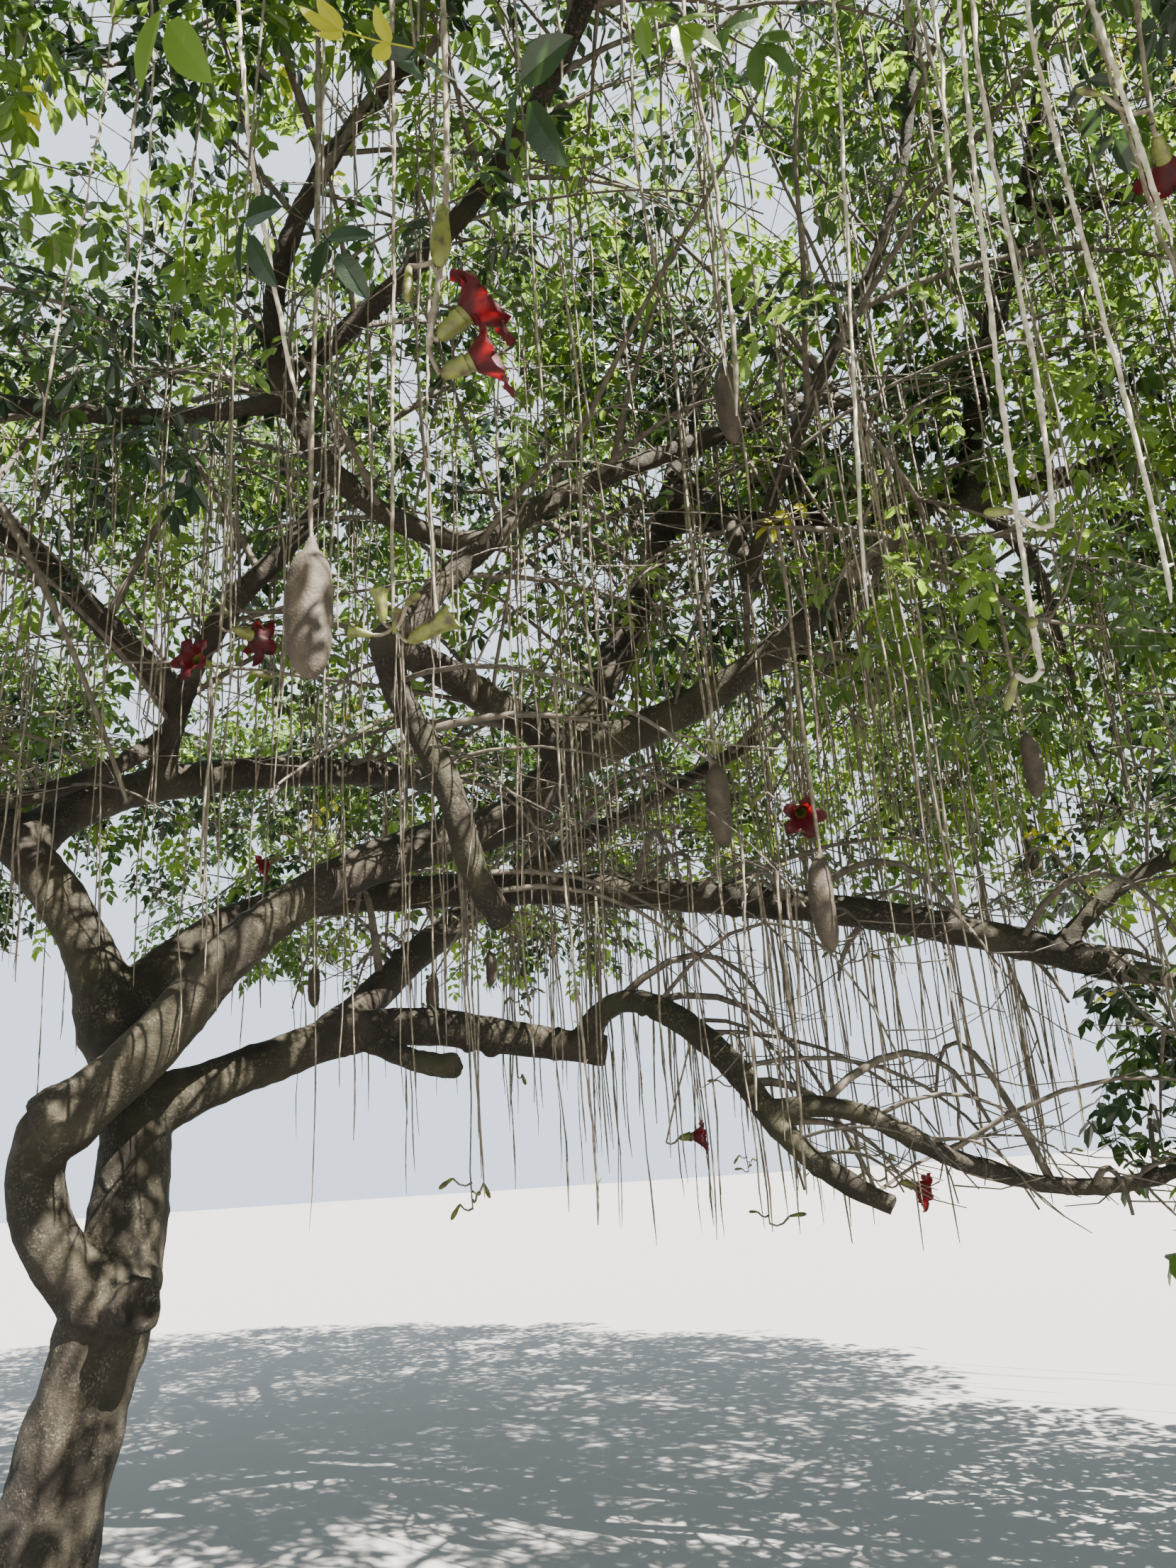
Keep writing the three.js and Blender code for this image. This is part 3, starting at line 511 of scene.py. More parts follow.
# Fruits: the girth at even steps down, as shares of the widest
FRUIT_SHAPE = [0.13, 0.3, 0.68, 0.86, 0.95, 0.99, 1.0, 1.0, 0.99, 0.97, 0.94, 0.89, 0.79, 0.56, 0.1]
FRUIT_RINGS = 26
FRUIT_SIDES = 20
FRUIT_STRETCH = {"length": 1.14, "girth": 0.93}
FRUIT_BEND = 0.5
FRUIT_RIDGES = [(5, 0.022), (8, 0.014)]            # how many round it, and how high
FRUIT_WAVES = [(34, 0.024), (57, 0.016)]           # and down it
FRUIT_STALK = {"top": 0.97, "sway": 0.35}          # the stalk ends in the fruit's shoulder
SMALL_STALK = {"girth": 14, "below": 8, "sway": 0.3}

# Flowers: each bell's rings, as the distance along it, the radius and how ruffled it is. Those
# of a bud and of an old cup, which has a torn rim, are shares of its length and girth.
FLOWER_CUP = {
    "rings": [(0, 4, 0), (5, 12, 0), (20, 18, 0), (44, 20, 0.04), (60, 24, 0.16)],
    "sides": 10, "droop": 0.06,
}
FLOWER_TUBE = {"rings": [(35, 15, 0), (60, 19, 0), (84, 25, 0)], "sides": 10, "droop": 0.1}
FLOWER_MOUTH = {
    "rings": [
        (76, 24, 0), (92, 34, 0.03), (108, 43, 0.1), (122, 51, 0.22), (130, 61, 0.36),
        (124, 70, 0.5),
    ],
    "sides": 40, "droop": 0.12,
}
BUD = {
    "rings": [
        (0, 0.3, 0), (0.1, 0.62, 0), (0.3, 0.72, 0), (0.62, 1.0, 0.05), (0.85, 0.8, 0.05),
        (0.97, 0.4, 0), (1.0, 0.05, 0),
    ],
    "sides": 7, "droop": 0.1,
}
OLD_CUP = {
    "rings": [
        (0, 0.05, 0), (0.12, 0.12, 0), (0.4, 0.17, 0.02), (0.7, 0.19, 0.06), (0.9, 0.22, 0.2),
        (1.0, 0.26, 0.4),
    ],
    "sides": 14, "droop": 0.05,
}
BUD_GIRTH = {"least": 0.13, "spread": 0.04}
RUFFLE = {"waves": 2.5, "inwards": 0.6, "outwards": 1.4, "uneven": 0.6}

# The foot of a flower stalk: how far its side stalks are apart, their reach, how they turn up,
# where they face, the scale of a flower and the length of a bud
CLUSTER = {
    "apart": 38, "reach": [55, 115], "rise": 15, "dip": -35, "bend": 0.6, "facing": [10, -50],
    "flower": [0.8, 1.05], "bud": [55, 95], "sway": 0.5,
}

# Thin stalks: the radii along them and the number of sides
CLUSTER_STALK = ([6.5, 5.5, 5.5, 6.5], 4)
FLOWER_SIDE_STALK = ([6, 5, 5, 5, 5.5], 5)
CUP_STALK = ([6, 5, 5, 5.5], 5)
STALK_SAG = {"flower": 12, "cup": 15}

# What shows well is placed by the pixel where the photograph has it, and by its Y.
# Stalks: the pixel high on each, the foot's, the Y, and how many buds the foot has
SHOWN_ROPES = [
    ((1335, 0), (1470, 945), -3270, 2), ((1380, 0), (1485, 740), -3150, 1),
    ((1450, 0), (1652, 850), -3290, 0), ((1535, 0), (1655, 335), -3450, 0),
    ((1318, 0), (1352, 385), -2900, 0), ((1165, 0), (1225, 860), -2300, 0),
    ((1640, 0), (1690, 700), -3000, 1), ((330, 0), (420, 560), -3300, 0),
]

# More fruits that show, smaller: the pixel of the middle of the top, the Y, the length, the girth
SMALL_FRUITS = [
    ((612, 1377), 690, 240, 75), ((690, 1346), 660, 170, 65),
    ((444, 1368), 670, 200, 70), ((667, 945), -260, 170, 45),
]

# Flowers that show: the stalk's pixels, then where each cup and bud starts, and its heading
FLOWERS_Y = -3590
FLOWER_STALK = [(630, 60), (627, 285), (604, 492)]
SHOWN_FLOWERS = [((618, 478), [0.72, -0.15, 0.60], 0.92), ((622, 530), [0.88, -0.15, 0.32], 0.85)]
SHOWN_BUDS = [((625, 290), [-0.06, -0.1, -1], 140), ((577, 375), [-0.03, -0.1, -1], 85)]
SHOWN_CUPS = [
    ((541, 878), [-0.1, -0.15, 1], 88), ((576, 906), [0.85, -0.15, 0.45], 130),
    ((527, 896), [-0.95, -0.15, 0.2], 62), ((556, 893), [0.3, -0.5, 0.7], 60),
]
CUPS_Y = -2780
SHOWN_CLUSTERS = [
    ((556, 885), -2780, 1, 0), ((1625, 175), -3350, 1, 1), ((1120, 1149), -490, 2, 1),
    ((940, 1612), 500, 0, 1), ((325, 965), -1300, 1, 1), ((311, 885), -1500, 0, 1),
]

# Leaves close to the eye: the pixel, the Y, the tone, the heading, pairs, rib and leaflet length
SHOWN_LEAVES = [
    ((225, 5), -3950, "fresh", [0.25, -0.3, -0.9], 1, 70, 125),
    ((585, 68), -3900, "yellow", [-1, -0.2, 0.05], 2, 125, 60),
    ((733, 100), -3880, "deep", [0.05, -0.1, -1], 1, 75, 118),
    ((590, 60), -3700, "deep", [-0.2, -0.1, -1], 1, 60, 100),
    ((345, 300), -3500, "deep", [0.1, -0.1, -1], 1, 60, 110),
    ((455, 330), -3450, "deep", [0.45, -0.1, -0.8], 1, 60, 95),
    ((1000, 30), -3600, "green", [0.6, -0.2, -0.6], 2, 130, 85),
    ((880, 20), -3700, "fresh", [0.7, -0.2, -0.4], 2, 120, 80),
]


# Arithmetic shared with the source

def between(values, share):
    place = min(max(share, 0), 1) * (len(values) - 1)
    step = min(int(place), len(values) - 2)
    return values[step] + (values[step + 1] - values[step]) * (place - step)


def even_shares(count):
    return [(index + 1) / count for index in range(count)]


def aim(heading, rise):
    heading = math.radians(heading)
    rise = math.radians(rise)
    level = math.cos(rise)
    return np.array([math.cos(heading) * level, math.sin(heading) * level, math.sin(rise)])


def random_source(seed):
    state = seed

    def draw():
        nonlocal state
        state = (state * 1664525 + 1013904223) % 4294967296
        return state / 4294967296

    return draw


def shake(draw, count):
    """Seeded numbers between minus a half and a half."""
    return np.array([draw() - 0.5 for _ in range(count)])


def level_shake(draw):
    return np.array([draw() - 0.5, draw() - 0.5, 0])


def unit(vector):
    return vector / np.linalg.norm(vector)


def winding_path(start, limb):
    points = [np.array(start, float)]
    for step in range(PATH_STEPS):
        share = (step + 0.5) / PATH_STEPS
        direction = aim(between(limb["heading"], share), between(limb["rise"], share))
        points.append(points[-1] + direction * limb["length"] / PATH_STEPS)
    return np.array(points)


def curved_path(start, bend, end, steps):
    share = np.linspace(0, 1, steps + 1)[:, None]
    return (1 - share) ** 2 * start + 2 * share * (1 - share) * bend + share**2 * end


def point_on(path, share):
    place = min(max(share, 0), 1) * (len(path) - 1)
    step = min(int(place), len(path) - 2)
    return path[step] + (path[step + 1] - path[step]) * (place - step)


def direction_on(path, share):
    half = 0.5 / (len(path) - 1)
    return unit(point_on(path, share + half) - point_on(path, share - half))


def lay_out_limbs():
    paths = {}
    for name, limb in LIMBS.items():
        start = point_on(paths[limb["from"]], limb["at"]) if "from" in limb else np.zeros(3)
        paths[name] = winding_path(start, limb)
    return paths


LIMB_PATHS = lay_out_limbs()


def camera_axes():
    """The camera's directions: ahead, right and up."""
    pitch = math.radians(CAMERA_PITCH)
    roll = math.radians(CAMERA_ROLL)
    ahead = np.array([0, math.cos(pitch), math.sin(pitch)])
    level_up = np.array([0, -math.sin(pitch), math.cos(pitch)])
    right = math.cos(roll) * np.array([1, 0, 0]) - math.sin(roll) * level_up
    return ahead, right, math.cos(roll) * level_up + math.sin(roll) * np.array([1, 0, 0])


def seen_at(pixel, y):
    """The point with this Y that the photograph shows at a pixel."""
    ahead, right, up = camera_axes()
    across = pixel[0] - IMAGE[0] / 2
    down = pixel[1] - IMAGE[1] / 2
    ray = ahead * FOCAL_PIXELS + right * across - up * down
    eye = np.array(CAMERA_PLACE, float)
    return eye + ray * (y - eye[1]) / ray[1]


def seen_pixels(points):
    """The pixel and the depth of each point, as the camera sees it."""
    ahead, right, up = camera_axes()
    away = np.atleast_2d(points) - np.array(CAMERA_PLACE)
    depth = np.maximum(away @ ahead, 1)
    across = IMAGE[0] / 2 + FOCAL_PIXELS * (away @ right) / depth
    down = IMAGE[1] / 2 - FOCAL_PIXELS * (away @ up) / depth
    return across, down, depth


def eye_distance(points):
    return np.linalg.norm(points - np.array(CAMERA_PLACE), axis=-1)


# Everything that leaves and twigs keep clear of, as short straight rods with an owner

def rod_distances(points, rows):
    """How far each point lies from the middle line of each rod."""
    start = rows[:, 0:3]
    along = rows[:, 3:6] - start
    away = points[:, None, :] - start[None]
    share = (away * along[None]).sum(2) / np.maximum((along**2).sum(1), 1e-9)[None]
    away -= np.clip(share, 0, 1)[:, :, None] * along[None]
    return np.sqrt((away**2).sum(2))


class Rods:
    def __init__(self):
        self.rows = []
        self.owners = []
        self.paths = []
        self.table = None

    def add(self, path, radius_at, owner, key):
        steps = len(path) - 1
        for step in range(1, steps + 1):
            self.rows.append([*path[step - 1], *path[step], radius_at(step / steps)])
            self.owners.append(owner)
            self.paths.append(key)
        self.table = None

    def arrays(self):
        if self.table is None:
            rows = np.array(self.rows)
            self.table = (rows, np.array(self.owners), np.array(self.paths))
        return self.table

    def of_owners(self, names):
        rows, owners, _ = self.arrays()
        return rows[np.isin(owners, names)]

    def are_clear(self, points, radii, owner=None, key=None):
        rows, owners, paths = self.arrays()
        keep = np.ones(len(rows), bool)
        if owner is not None:
            keep &= owners != owner
        if key is not None:
            keep &= paths != key
        low = points.min(0) - ROD_REACH
        high = points.max(0) + ROD_REACH
        start = rows[:, 0:3]
        end = rows[:, 3:6]
        keep &= (np.maximum(start, end) > low).all(1) & (np.minimum(start, end) < high).all(1)
        near = rows[keep]
        reach = near[:, 6][None] + np.asarray(radii).reshape(-1, 1) + CLEAR
        return (rod_distances(points, near) > reach).all(1)


rods = Rods()


def within_dome(points, centre, reach, margin):
    offset = points - np.array(centre, float)
    scale = np.array([reach[0], reach[0], reach[1]], float) - margin
    return ((offset / scale) ** 2).sum(-1) < 1


def in_own_space(name, points, margin):
    _, centre, reach, inner = MASSES[name]
    points = np.atleast_2d(points)
    inside = within_dome(points, centre, reach, 0)
    inside &= within_dome(points, CROWN["centre"], CROWN["reach"], margin)
    if not inner:
        inside &= ~within_dome(points, HALL["centre"], HALL["reach"], -margin)
    own = np.array(centre, float)
    for other in MASS_NAMES:
        if other == name:
            continue
        away = np.array(MASSES[other][1], float) - own
        inside &= (points - own - away / 2) @ unit(away) < -margin
    return inside


# The source's stems, twigs, fruits and leaf places

def stem_of(name):
    tip, centre, _, _ = MASSES[name]
    path = LIMB_PATHS[tip]
    direction = direction_on(path, 1)
    start = path[-1] + direction * GAP
    collar = start + direction * STEM_COLLAR
    centre = np.array(centre, float)
    bend = collar + direction * np.linalg.norm(centre - start) * STEM_BEND
    stem = np.vstack([start, curved_path(collar, bend, centre, STEM_RINGS - 1)])
    girth = [LIMBS[tip]["girth"][-1] * STEM_GIRTH_SHARE, STEM_TIP_GIRTH]
    return {"path": stem, "girth": girth}


def twig_to(name, stem, share, target, keeps_to_space):
    start = point_on(stem["path"], share)
    reach = np.linalg.norm(target - start)
    bend = start + direction_on(stem["path"], share) * reach * TWIG_BEND
    bend += ((start + target) / 2 - bend) * TWIG_STRAIGHTENING
    path = curved_path(start, bend, target, TWIG_RINGS)
    checks = np.array([point_on(path, place) for place in even_shares(TWIG_CHECKS)])
    if keeps_to_space and not in_own_space(name, checks, TWIG_GIRTH[0]).all():
        return None
    if not rods.are_clear(checks, TWIG_GIRTH[0] / 2, owner=name).all():
        return None
    return {"path": path, "girth": TWIG_GIRTH}


def twigs_of(name, stem, draw):
    _, centre, reach, _ = MASSES[name]
    scale = np.array([reach[0], reach[0], reach[1]]) * TWIG_REACH
    turn = draw() * 360
    twigs = []
    for index in range(TWIGS_PER_MASS):
        height = 1 - 2 * (index + 0.5) / TWIGS_PER_MASS
        heading = turn + index * GOLDEN_ANGLE
        start = between(TWIG_STARTS, index / (TWIGS_PER_MASS - 1))
        twig = None
        for share in TWIG_DRAWN_IN:
            for extra in TWIG_RETRIES:
                outwards = aim(heading + extra, math.degrees(math.asin(height))) * share * scale
                twig = twig or twig_to(name, stem, start, np.array(centre) + outwards, True)
        if twig:
            twigs.append(twig)
    return twigs


def hanging_fruit(name, top, foot, length, girth):
    top = np.array(top, float)
    end = np.array([top[0], top[1], foot])
    checks = np.array([top + (end - top) * share for share in even_shares(STALK_CHECKS)])
    if not rods.are_clear(checks, girth / 2, owner=name).all():
        return None
    return {"top": top, "foot": foot, "length": length, "girth": girth}


def seeded_fruits(name, twigs, draw):
    if draw() > FRUIT_CHANCE:
        return []
    for twig in twigs:
        drop = between(STALK_DROP, draw())
        length = between(FRUIT_LENGTH, draw())
        top = point_on(twig["path"], STALK_PLACE)
        foot = max(LOWEST_FRUIT, top[2] - drop - length)
        fruit = hanging_fruit(name, top, foot, length, length * FRUIT_SLENDERNESS)
        if fruit:
            return [fruit]
    return []


def photographed_fruits(name, stem):
    twigs = []
    fruits = []
    for mass, top, foot, length, girth in FRUITS:
        if mass != name:
            continue
        twig = twig_to(name, stem, FRUIT_TWIG_START, np.array(top, float), False)
        fruit = hanging_fruit(name, top, foot, length, girth)
        if twig and fruit:
            twigs.append(twig)
            fruits.append(fruit)
    return twigs, fruits


def leaf_fits(name, root, direction, key):
    across = unit(np.cross(direction, UP))
    share = np.array(LEAF_CHECKS)
    middle = root + direction * (LEAF["length"] * share - LEAF["sunk"])[:, None]
    half = LEAF["width"] / 2 * (1 - np.abs(2 * share - 1))
    edges = np.vstack([middle + across * (side * half)[:, None] for side in (-1, 1)])
    if not in_own_space(name, edges, CLEAR / 2).all():
        return False
    inner = np.vstack([middle + across * (side * half / 2)[:, None] for side in (-1, 1)])
    return rods.are_clear(inner, np.tile(half / 2 + LEAF["thick"], 2), key=key).all()


def leaf_places(name, twigs):
    places = []
    for number, twig in enumerate(twigs):
        key = f"{name} twig {number}"
        for index, share in enumerate(LEAF_SHARES):
            root = point_on(twig["path"], share)
            along = direction_on(twig["path"], share)
            heading = math.degrees(math.atan2(along[1], along[0])) + LEAF_TURNS[index]
            for extra in LEAF_RETRIES:
                direction = aim(heading + extra, LEAF_RISES[index])
                if leaf_fits(name, root, direction, key):
                    places.append((root, direction))
                    rib = np.array([root + direction * LEAF["length"] * part for part in LEAF_RIB])
                    rods.add(rib, lambda _: LEAF_RIB_GIRTH / 2, name, "rib")
                    break
    return places


def grow_masses():
    grown = {}
    for name, limb in LIMBS.items():
        rods.add(LIMB_PATHS[name], lambda s, g=limb["girth"]: between(g, s) / 2, name, name)
    for name in MASS_NAMES:
        stem = stem_of(name)
        grown[name] = {"stem": stem, "draw": random_source(MASS_NAMES.index(name) + 1)}
        rods.add(stem["path"], lambda s, g=stem["girth"]: between(g, s) / 2, name, name)
    for name in MASS_NAMES:
        mass = grown[name]
        shown_twigs, shown_fruits = photographed_fruits(name, mass["stem"])
        mass["twigs"] = twigs_of(name, mass["stem"], mass["draw"])
        seeded = seeded_fruits(name, mass["twigs"], mass["draw"])
        mass["fruits"] = shown_fruits or seeded
        mass["twigs"] += shown_twigs
        for number, twig in enumerate(mass["twigs"]):
            girth = twig["girth"]
            rods.add(twig["path"], lambda s: between(girth, s) / 2, name, f"{name} twig {number}")
        for fruit in mass["fruits"]:
            heights = [fruit["foot"] + fruit["length"] * share for share in FRUIT_HEIGHTS]
            line = np.array([[*fruit["top"][:2], height] for height in [fruit["top"][2], *heights]])
            girths = [STALK_GIRTH, STALK_GIRTH] + [fruit["girth"] * share for share in FRUIT_GIRTHS]
            rods.add(line, lambda s, g=girths: between(g, s) / 2, name, "fruit")
    for name in MASS_NAMES:
        grown[name]["leaves"] = leaf_places(name, grown[name]["twigs"])
    return grown


# Meshes

class Heap:
    """Vertices and faces of one kind, gathered from many small shapes."""

    def __init__(self):
        self.vertices = []
        self.faces = []
        self.count = 0

    def add(self, vertices, *face_lists):
        vertices = np.asarray(vertices, float).reshape(-1, 3)
        self.vertices.append(vertices)
        self.faces += [np.asarray(faces, int) + self.count for faces in face_lists]
        self.count += len(vertices)


def mesh_of(name, heap):
    by_size = {}
    for faces in heap.faces:
        by_size.setdefault(faces.shape[1], []).append(faces)
    face_lists = [np.vstack(group) for group in by_size.values()]
    vertices = np.vstack(heap.vertices)
    mesh = bpy.data.meshes.new(name)
    corners = np.concatenate([faces.ravel() for faces in face_lists])
    sizes = np.concatenate([np.full(len(faces), faces.shape[1]) for faces in face_lists])
    starts = np.concatenate([[0], np.cumsum(sizes)[:-1]])
    mesh.vertices.add(len(vertices))
    mesh.vertices.foreach_set("co", (vertices * MM).astype(np.float32).ravel())
    mesh.loops.add(len(corners))
    mesh.loops.foreach_set("vertex_index", corners.astype(np.int32))
    mesh.polygons.add(len(sizes))
    mesh.polygons.foreach_set("loop_start", starts.astype(np.int32))
    mesh.update(calc_edges=True)
    mesh.validate()
    return mesh


def piece_from(name, heap, material, smooth=True):
    mesh = mesh_of(name, heap)
    if smooth:
        mesh.shade_smooth()
    else:
        mesh.shade_flat()
    return placed_piece(name, mesh, material)


def placed_piece(name, mesh, material):
    mesh.materials.clear()
    mesh.materials.append(material)
    piece = bpy.data.objects.new(name, mesh)
    bpy.context.scene.collection.objects.link(piece)
    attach(piece, "root")
    return piece


def ring_frames(path):
    """Side and cross vectors along many paths at once; path has shape (..., rings, 3)."""
    forward = np.gradient(path, axis=-2)
    forward /= np.maximum(np.linalg.norm(forward, axis=-1, keepdims=True), 1e-9)
    side = FIRST_SIDE - forward * (forward @ FIRST_SIDE)[..., None]
    side /= np.maximum(np.linalg.norm(side, axis=-1, keepdims=True), 1e-9)
    return side, np.cross(side, forward)


def ring_angles(sides):
    return np.linspace(0, 2 * math.pi, sides, endpoint=False)


def spokes_of(side, cross, sides):
    """Vectors to the corners of a ring, from the two vectors that lie across its path."""
    angle = ring_angles(sides)[:, None]
    return side[..., None, :] * np.cos(angle) + cross[..., None, :] * np.sin(angle)


def tube_faces(rings, sides):
    ring = np.arange(rings - 1)[:, None] * sides
    here = np.arange(sides)[None]
    after = (here + 1) % sides
    quads = np.stack([ring + here, ring + after, ring + after + sides, ring + here + sides], -1)
    return quads.reshape(-1, 4)


def add_tubes(heap, paths, radii, sides):
    """Many thin tubes at once, with open ends and the same number of rings."""
    paths = np.asarray(paths, float)
    radii = np.asarray(radii, float)
    vertices = paths[..., None, :] + spokes_of(*ring_frames(paths), sides) * radii[..., None, None]
    count, rings = paths.shape[:2]
    faces = tube_faces(rings, sides)[None] + (np.arange(count) * rings * sides)[:, None, None]
    heap.add(vertices, faces.reshape(-1, 4))


def smooth_path(path, rings):
    """A softer line through a path's points."""
    path = np.asarray(path, float)
    place = np.linspace(0, len(path) - 1, rings)
    step = np.minimum(place.astype(int), len(path) - 2)
    part = (place - step)[:, None]
    padded = np.vstack([2 * path[0] - path[1], path, 2 * path[-1] - path[-2]])
    p0, p1, p2, p3 = (padded[step + offset] for offset in range(4))
    return 0.5 * (
        2 * p1 + (p2 - p0) * part + (2 * p0 - 5 * p1 + 4 * p2 - p3) * part**2
        + (3 * p1 - p0 - 3 * p2 + p3) * part**3
    )


# Bark

def carried_frames(path):
    """Side and cross vectors along one path, carried from ring to ring without twisting."""
    forward = np.gradient(path, axis=0)
    forward /= np.linalg.norm(forward, axis=1)[:, None]
    sides = []
    side = FIRST_SIDE
    for direction in forward:
        side = unit(side - direction * (side @ direction))
        sides.append(side)
    sides = np.array(sides)
    return sides, np.cross(sides, forward)


def add_shell(heap, rings, first, last):
    """A closed skin over rings of points, with a fan of triangles to a point at each end."""
    count, sides = rings.shape[:2]
    here = np.arange(sides)
    after = (here + 1) % sides
    last_ring = (count - 1) * sides
    tip = np.full(sides, count * sides)
    heap.add(
        np.vstack([rings.reshape(-1, 3), first, last]),
        tube_faces(count, sides),
        np.stack([tip, after, here], -1),
        np.stack([tip + 1, here + last_ring, after + last_ring], -1),
    )


def closed_tube(heap, path, radii):
    """A tube with closed ends; radii has one row per ring and one column per side."""
    spokes = spokes_of(*carried_frames(path), radii.shape[1])
    add_shell(heap, path[:, None] + spokes * radii[:, :, None], path[0], path[-1])


def add_ball(heap, centre, radius):
    angle = np.linspace(0, math.pi, BALL_RINGS + 2)[1:-1]
    path = np.array(centre) + np.stack([0 * angle, 0 * angle, radius * np.cos(angle)], -1)
    closed_tube(heap, path, np.repeat((radius * np.sin(angle))[:, None], BALL_SIDES, 1))


def lumps(points, size):
    """Smooth seeded heights between about -1 and 1, for lumps of this size."""
    return np.array([noise.noise(Vector(point / size)) for point in points])


def scar_rings(length, draw):
    """Heights of the ring scars and swellings along a limb, as a function of distance."""
    places = []
    place = between(SCAR_SPACING, draw())
    while place < length:
        places.append((place, SCAR_SIZE + draw()))
        place += between(SCAR_SPACING, draw())

    def height(distance):
        total = 0 * distance
        for at, size in places:
            total += SCAR_HEIGHT * size * np.exp(-(((distance - at) / SCAR_WIDTH) ** 2))
        return total

    return height


def add_limb(heap, name, draw):
    """A limb with its lumps, scars and twist, swollen where it leaves the limb that bears it."""
    limb = LIMBS[name]
    rings = int(limb["length"] / LIMB_RING) + 1
    path = smooth_path(LIMB_PATHS[name], rings)
    share = np.linspace(0, 1, rings)
    along = share * limb["length"]
    girth = np.array([between(limb["girth"], value) for value in share])
    radius = girth / 2 + scar_rings(limb["length"], draw)(along)
    if "from" in limb:
        parent = between(LIMBS[limb["from"]]["girth"], limb["at"]) / 2
        beyond = np.maximum(along - parent * COLLAR["start"], 0)
        swelling = min(girth[0], parent * 2) * COLLAR["height"]
        radius += swelling * np.exp(-beyond / (girth[0] * COLLAR["fade"]))
    uneven = 1 + LUMP_HEIGHT * lumps(path + np.array(LUMP_OFFSET), LUMP_SIZE)
    angle = ring_angles(LIMB_SIDES)
    phase = draw() * FULL_TURN + along[:, None] / OVAL["twist"]
    section = 1 + OVAL["depth"] * np.cos(2 * angle[None] + phase)
    section += CORNERS["depth"] * np.cos(3 * angle[None] - CORNERS["twist"] * phase)
    radii = (radius * uneven)[:, None] * section
    if name == "trunk":
        path, radii = with_foot(path, radii, along, angle)
    closed_tube(heap, path, radii)
    if "knuckle" in limb:
        add_ball(heap, LIMB_PATHS[name][-1], limb["knuckle"] * KNUCKLE_SHARE)
    add_knots(heap, name, draw)


def with_foot(path, radii, height, angle):
    """The trunk's root flare, with the source's flutes, gone on below the ground."""
    fade = np.exp(-height / FLARE_HEIGHT)[:, None]
    lobes = 1 + FLARE_LOBE_DEPTH * np.cos(FLARE_LOBES * angle)[None] * fade
    radii = (radii + FLARE_GIRTH / 2 * fade) * lobes
    below = path[0] - direction_on(path, 0) * BARK_FOOT_DEPTH
    return np.vstack([below, path]), np.vstack([radii[0], radii])


def add_knots(heap, name, draw):
    """Small swellings where side shoots once grew."""
    limb = LIMBS[name]
    path = LIMB_PATHS[name]
    for _ in range(int(limb["length"] / 1000 * KNOTS_PER_METRE + draw())):
        share = KNOT["from"] + KNOT["over"] * draw()
        girth = between(limb["girth"], share)
        across = aim(draw() * 360, between(KNOT["rise"], draw()))
        outwards = unit(np.cross(direction_on(path, share), across))
        size = girth * (KNOT["size"] + KNOT["spread"] * draw())
        add_ball(heap, point_on(path, share) + outwards * (girth / 2 - size * KNOT["sunk"]), size)


def add_knob(heap):
    """The pruned knob: a short thick stub with a raised ring of bark round its hollow scar."""
    start = point_on(LIMB_PATHS["trunk"], KNOB["at"])
    direction = aim(KNOB["heading"], KNOB["rise"])
    distance, radius = np.array(KNOB_RINGS).T
    path = start + direction * distance[:, None]
    side = unit(np.cross(direction, UP))
    spokes = spokes_of(side, np.cross(side, direction), KNOB_SIDES)
    angle = ring_angles(KNOB_SIDES)
    wobble = 1
    for waves, high, turned in KNOB_WOBBLE:
        wobble = wobble + high * np.cos(waves * angle + turned)
    is_upright = np.abs(np.sin(angle)) > 0.5
    stretch = np.where(is_upright, KNOB_STRETCH["upright"], KNOB_STRETCH["level"])
    radii = radius[:, None] * wobble * stretch
    add_shell(heap, path[:, None] + spokes * radii[:, :, None] * KNOB_SHARE, path[0], path[-1])


def add_bulb(heap):
    """The trunk swells under the knob."""
    middle = point_on(LIMB_PATHS["trunk"], KNOB["at"] + BULB["beyond"])
    add_ball(heap, middle + aim(BULB["heading"], BULB["rise"]) * BULB["out"], BULB["radius"])


def evaluated_mesh(piece):
    graph = bpy.context.evaluated_depsgraph_get()
    graph.update()
    return bpy.data.meshes.new_from_object(piece.evaluated_get(graph))


def build_bark(material):
    heap = Heap()
    draw = random_source(SEEDS["bark"])
    for name in LIMBS:
        add_limb(heap, name, draw)
    add_knob(heap)
    add_bulb(heap)
    fused = fused_skin(heap)
    add_relief(fused)
    fused.shade_smooth()
    piece = placed_piece("bark", fused, material)
    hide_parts(*LIMBS)


def fused_skin(heap):
    """One skin over all the tubes and balls of a heap, with no more triangles than it may have."""
    rough = bpy.data.objects.new("bark_rough", mesh_of("bark_rough", heap))
    bpy.context.scene.collection.objects.link(rough)
    remesh = rough.modifiers.new("fuse", "REMESH")
    remesh.mode = "VOXEL"
    remesh.voxel_size = BARK_VOXEL * MM
    soften = rough.modifiers.new("soften", "SMOOTH")
    soften.factor = BARK_SOFTENING["factor"]
    soften.iterations = BARK_SOFTENING["rounds"]
    fused = evaluated_mesh(rough)
    rough.modifiers.clear()
    rough.data = fused
    triangles = sum(len(polygon.vertices) - 2 for polygon in fused.polygons)
    if triangles > BARK_TRIANGLES:
        thin = rough.modifiers.new("thin", "DECIMATE")
        thin.ratio = BARK_TRIANGLES / triangles
        fused = evaluated_mesh(rough)
    bpy.data.objects.remove(rough)
    return fused


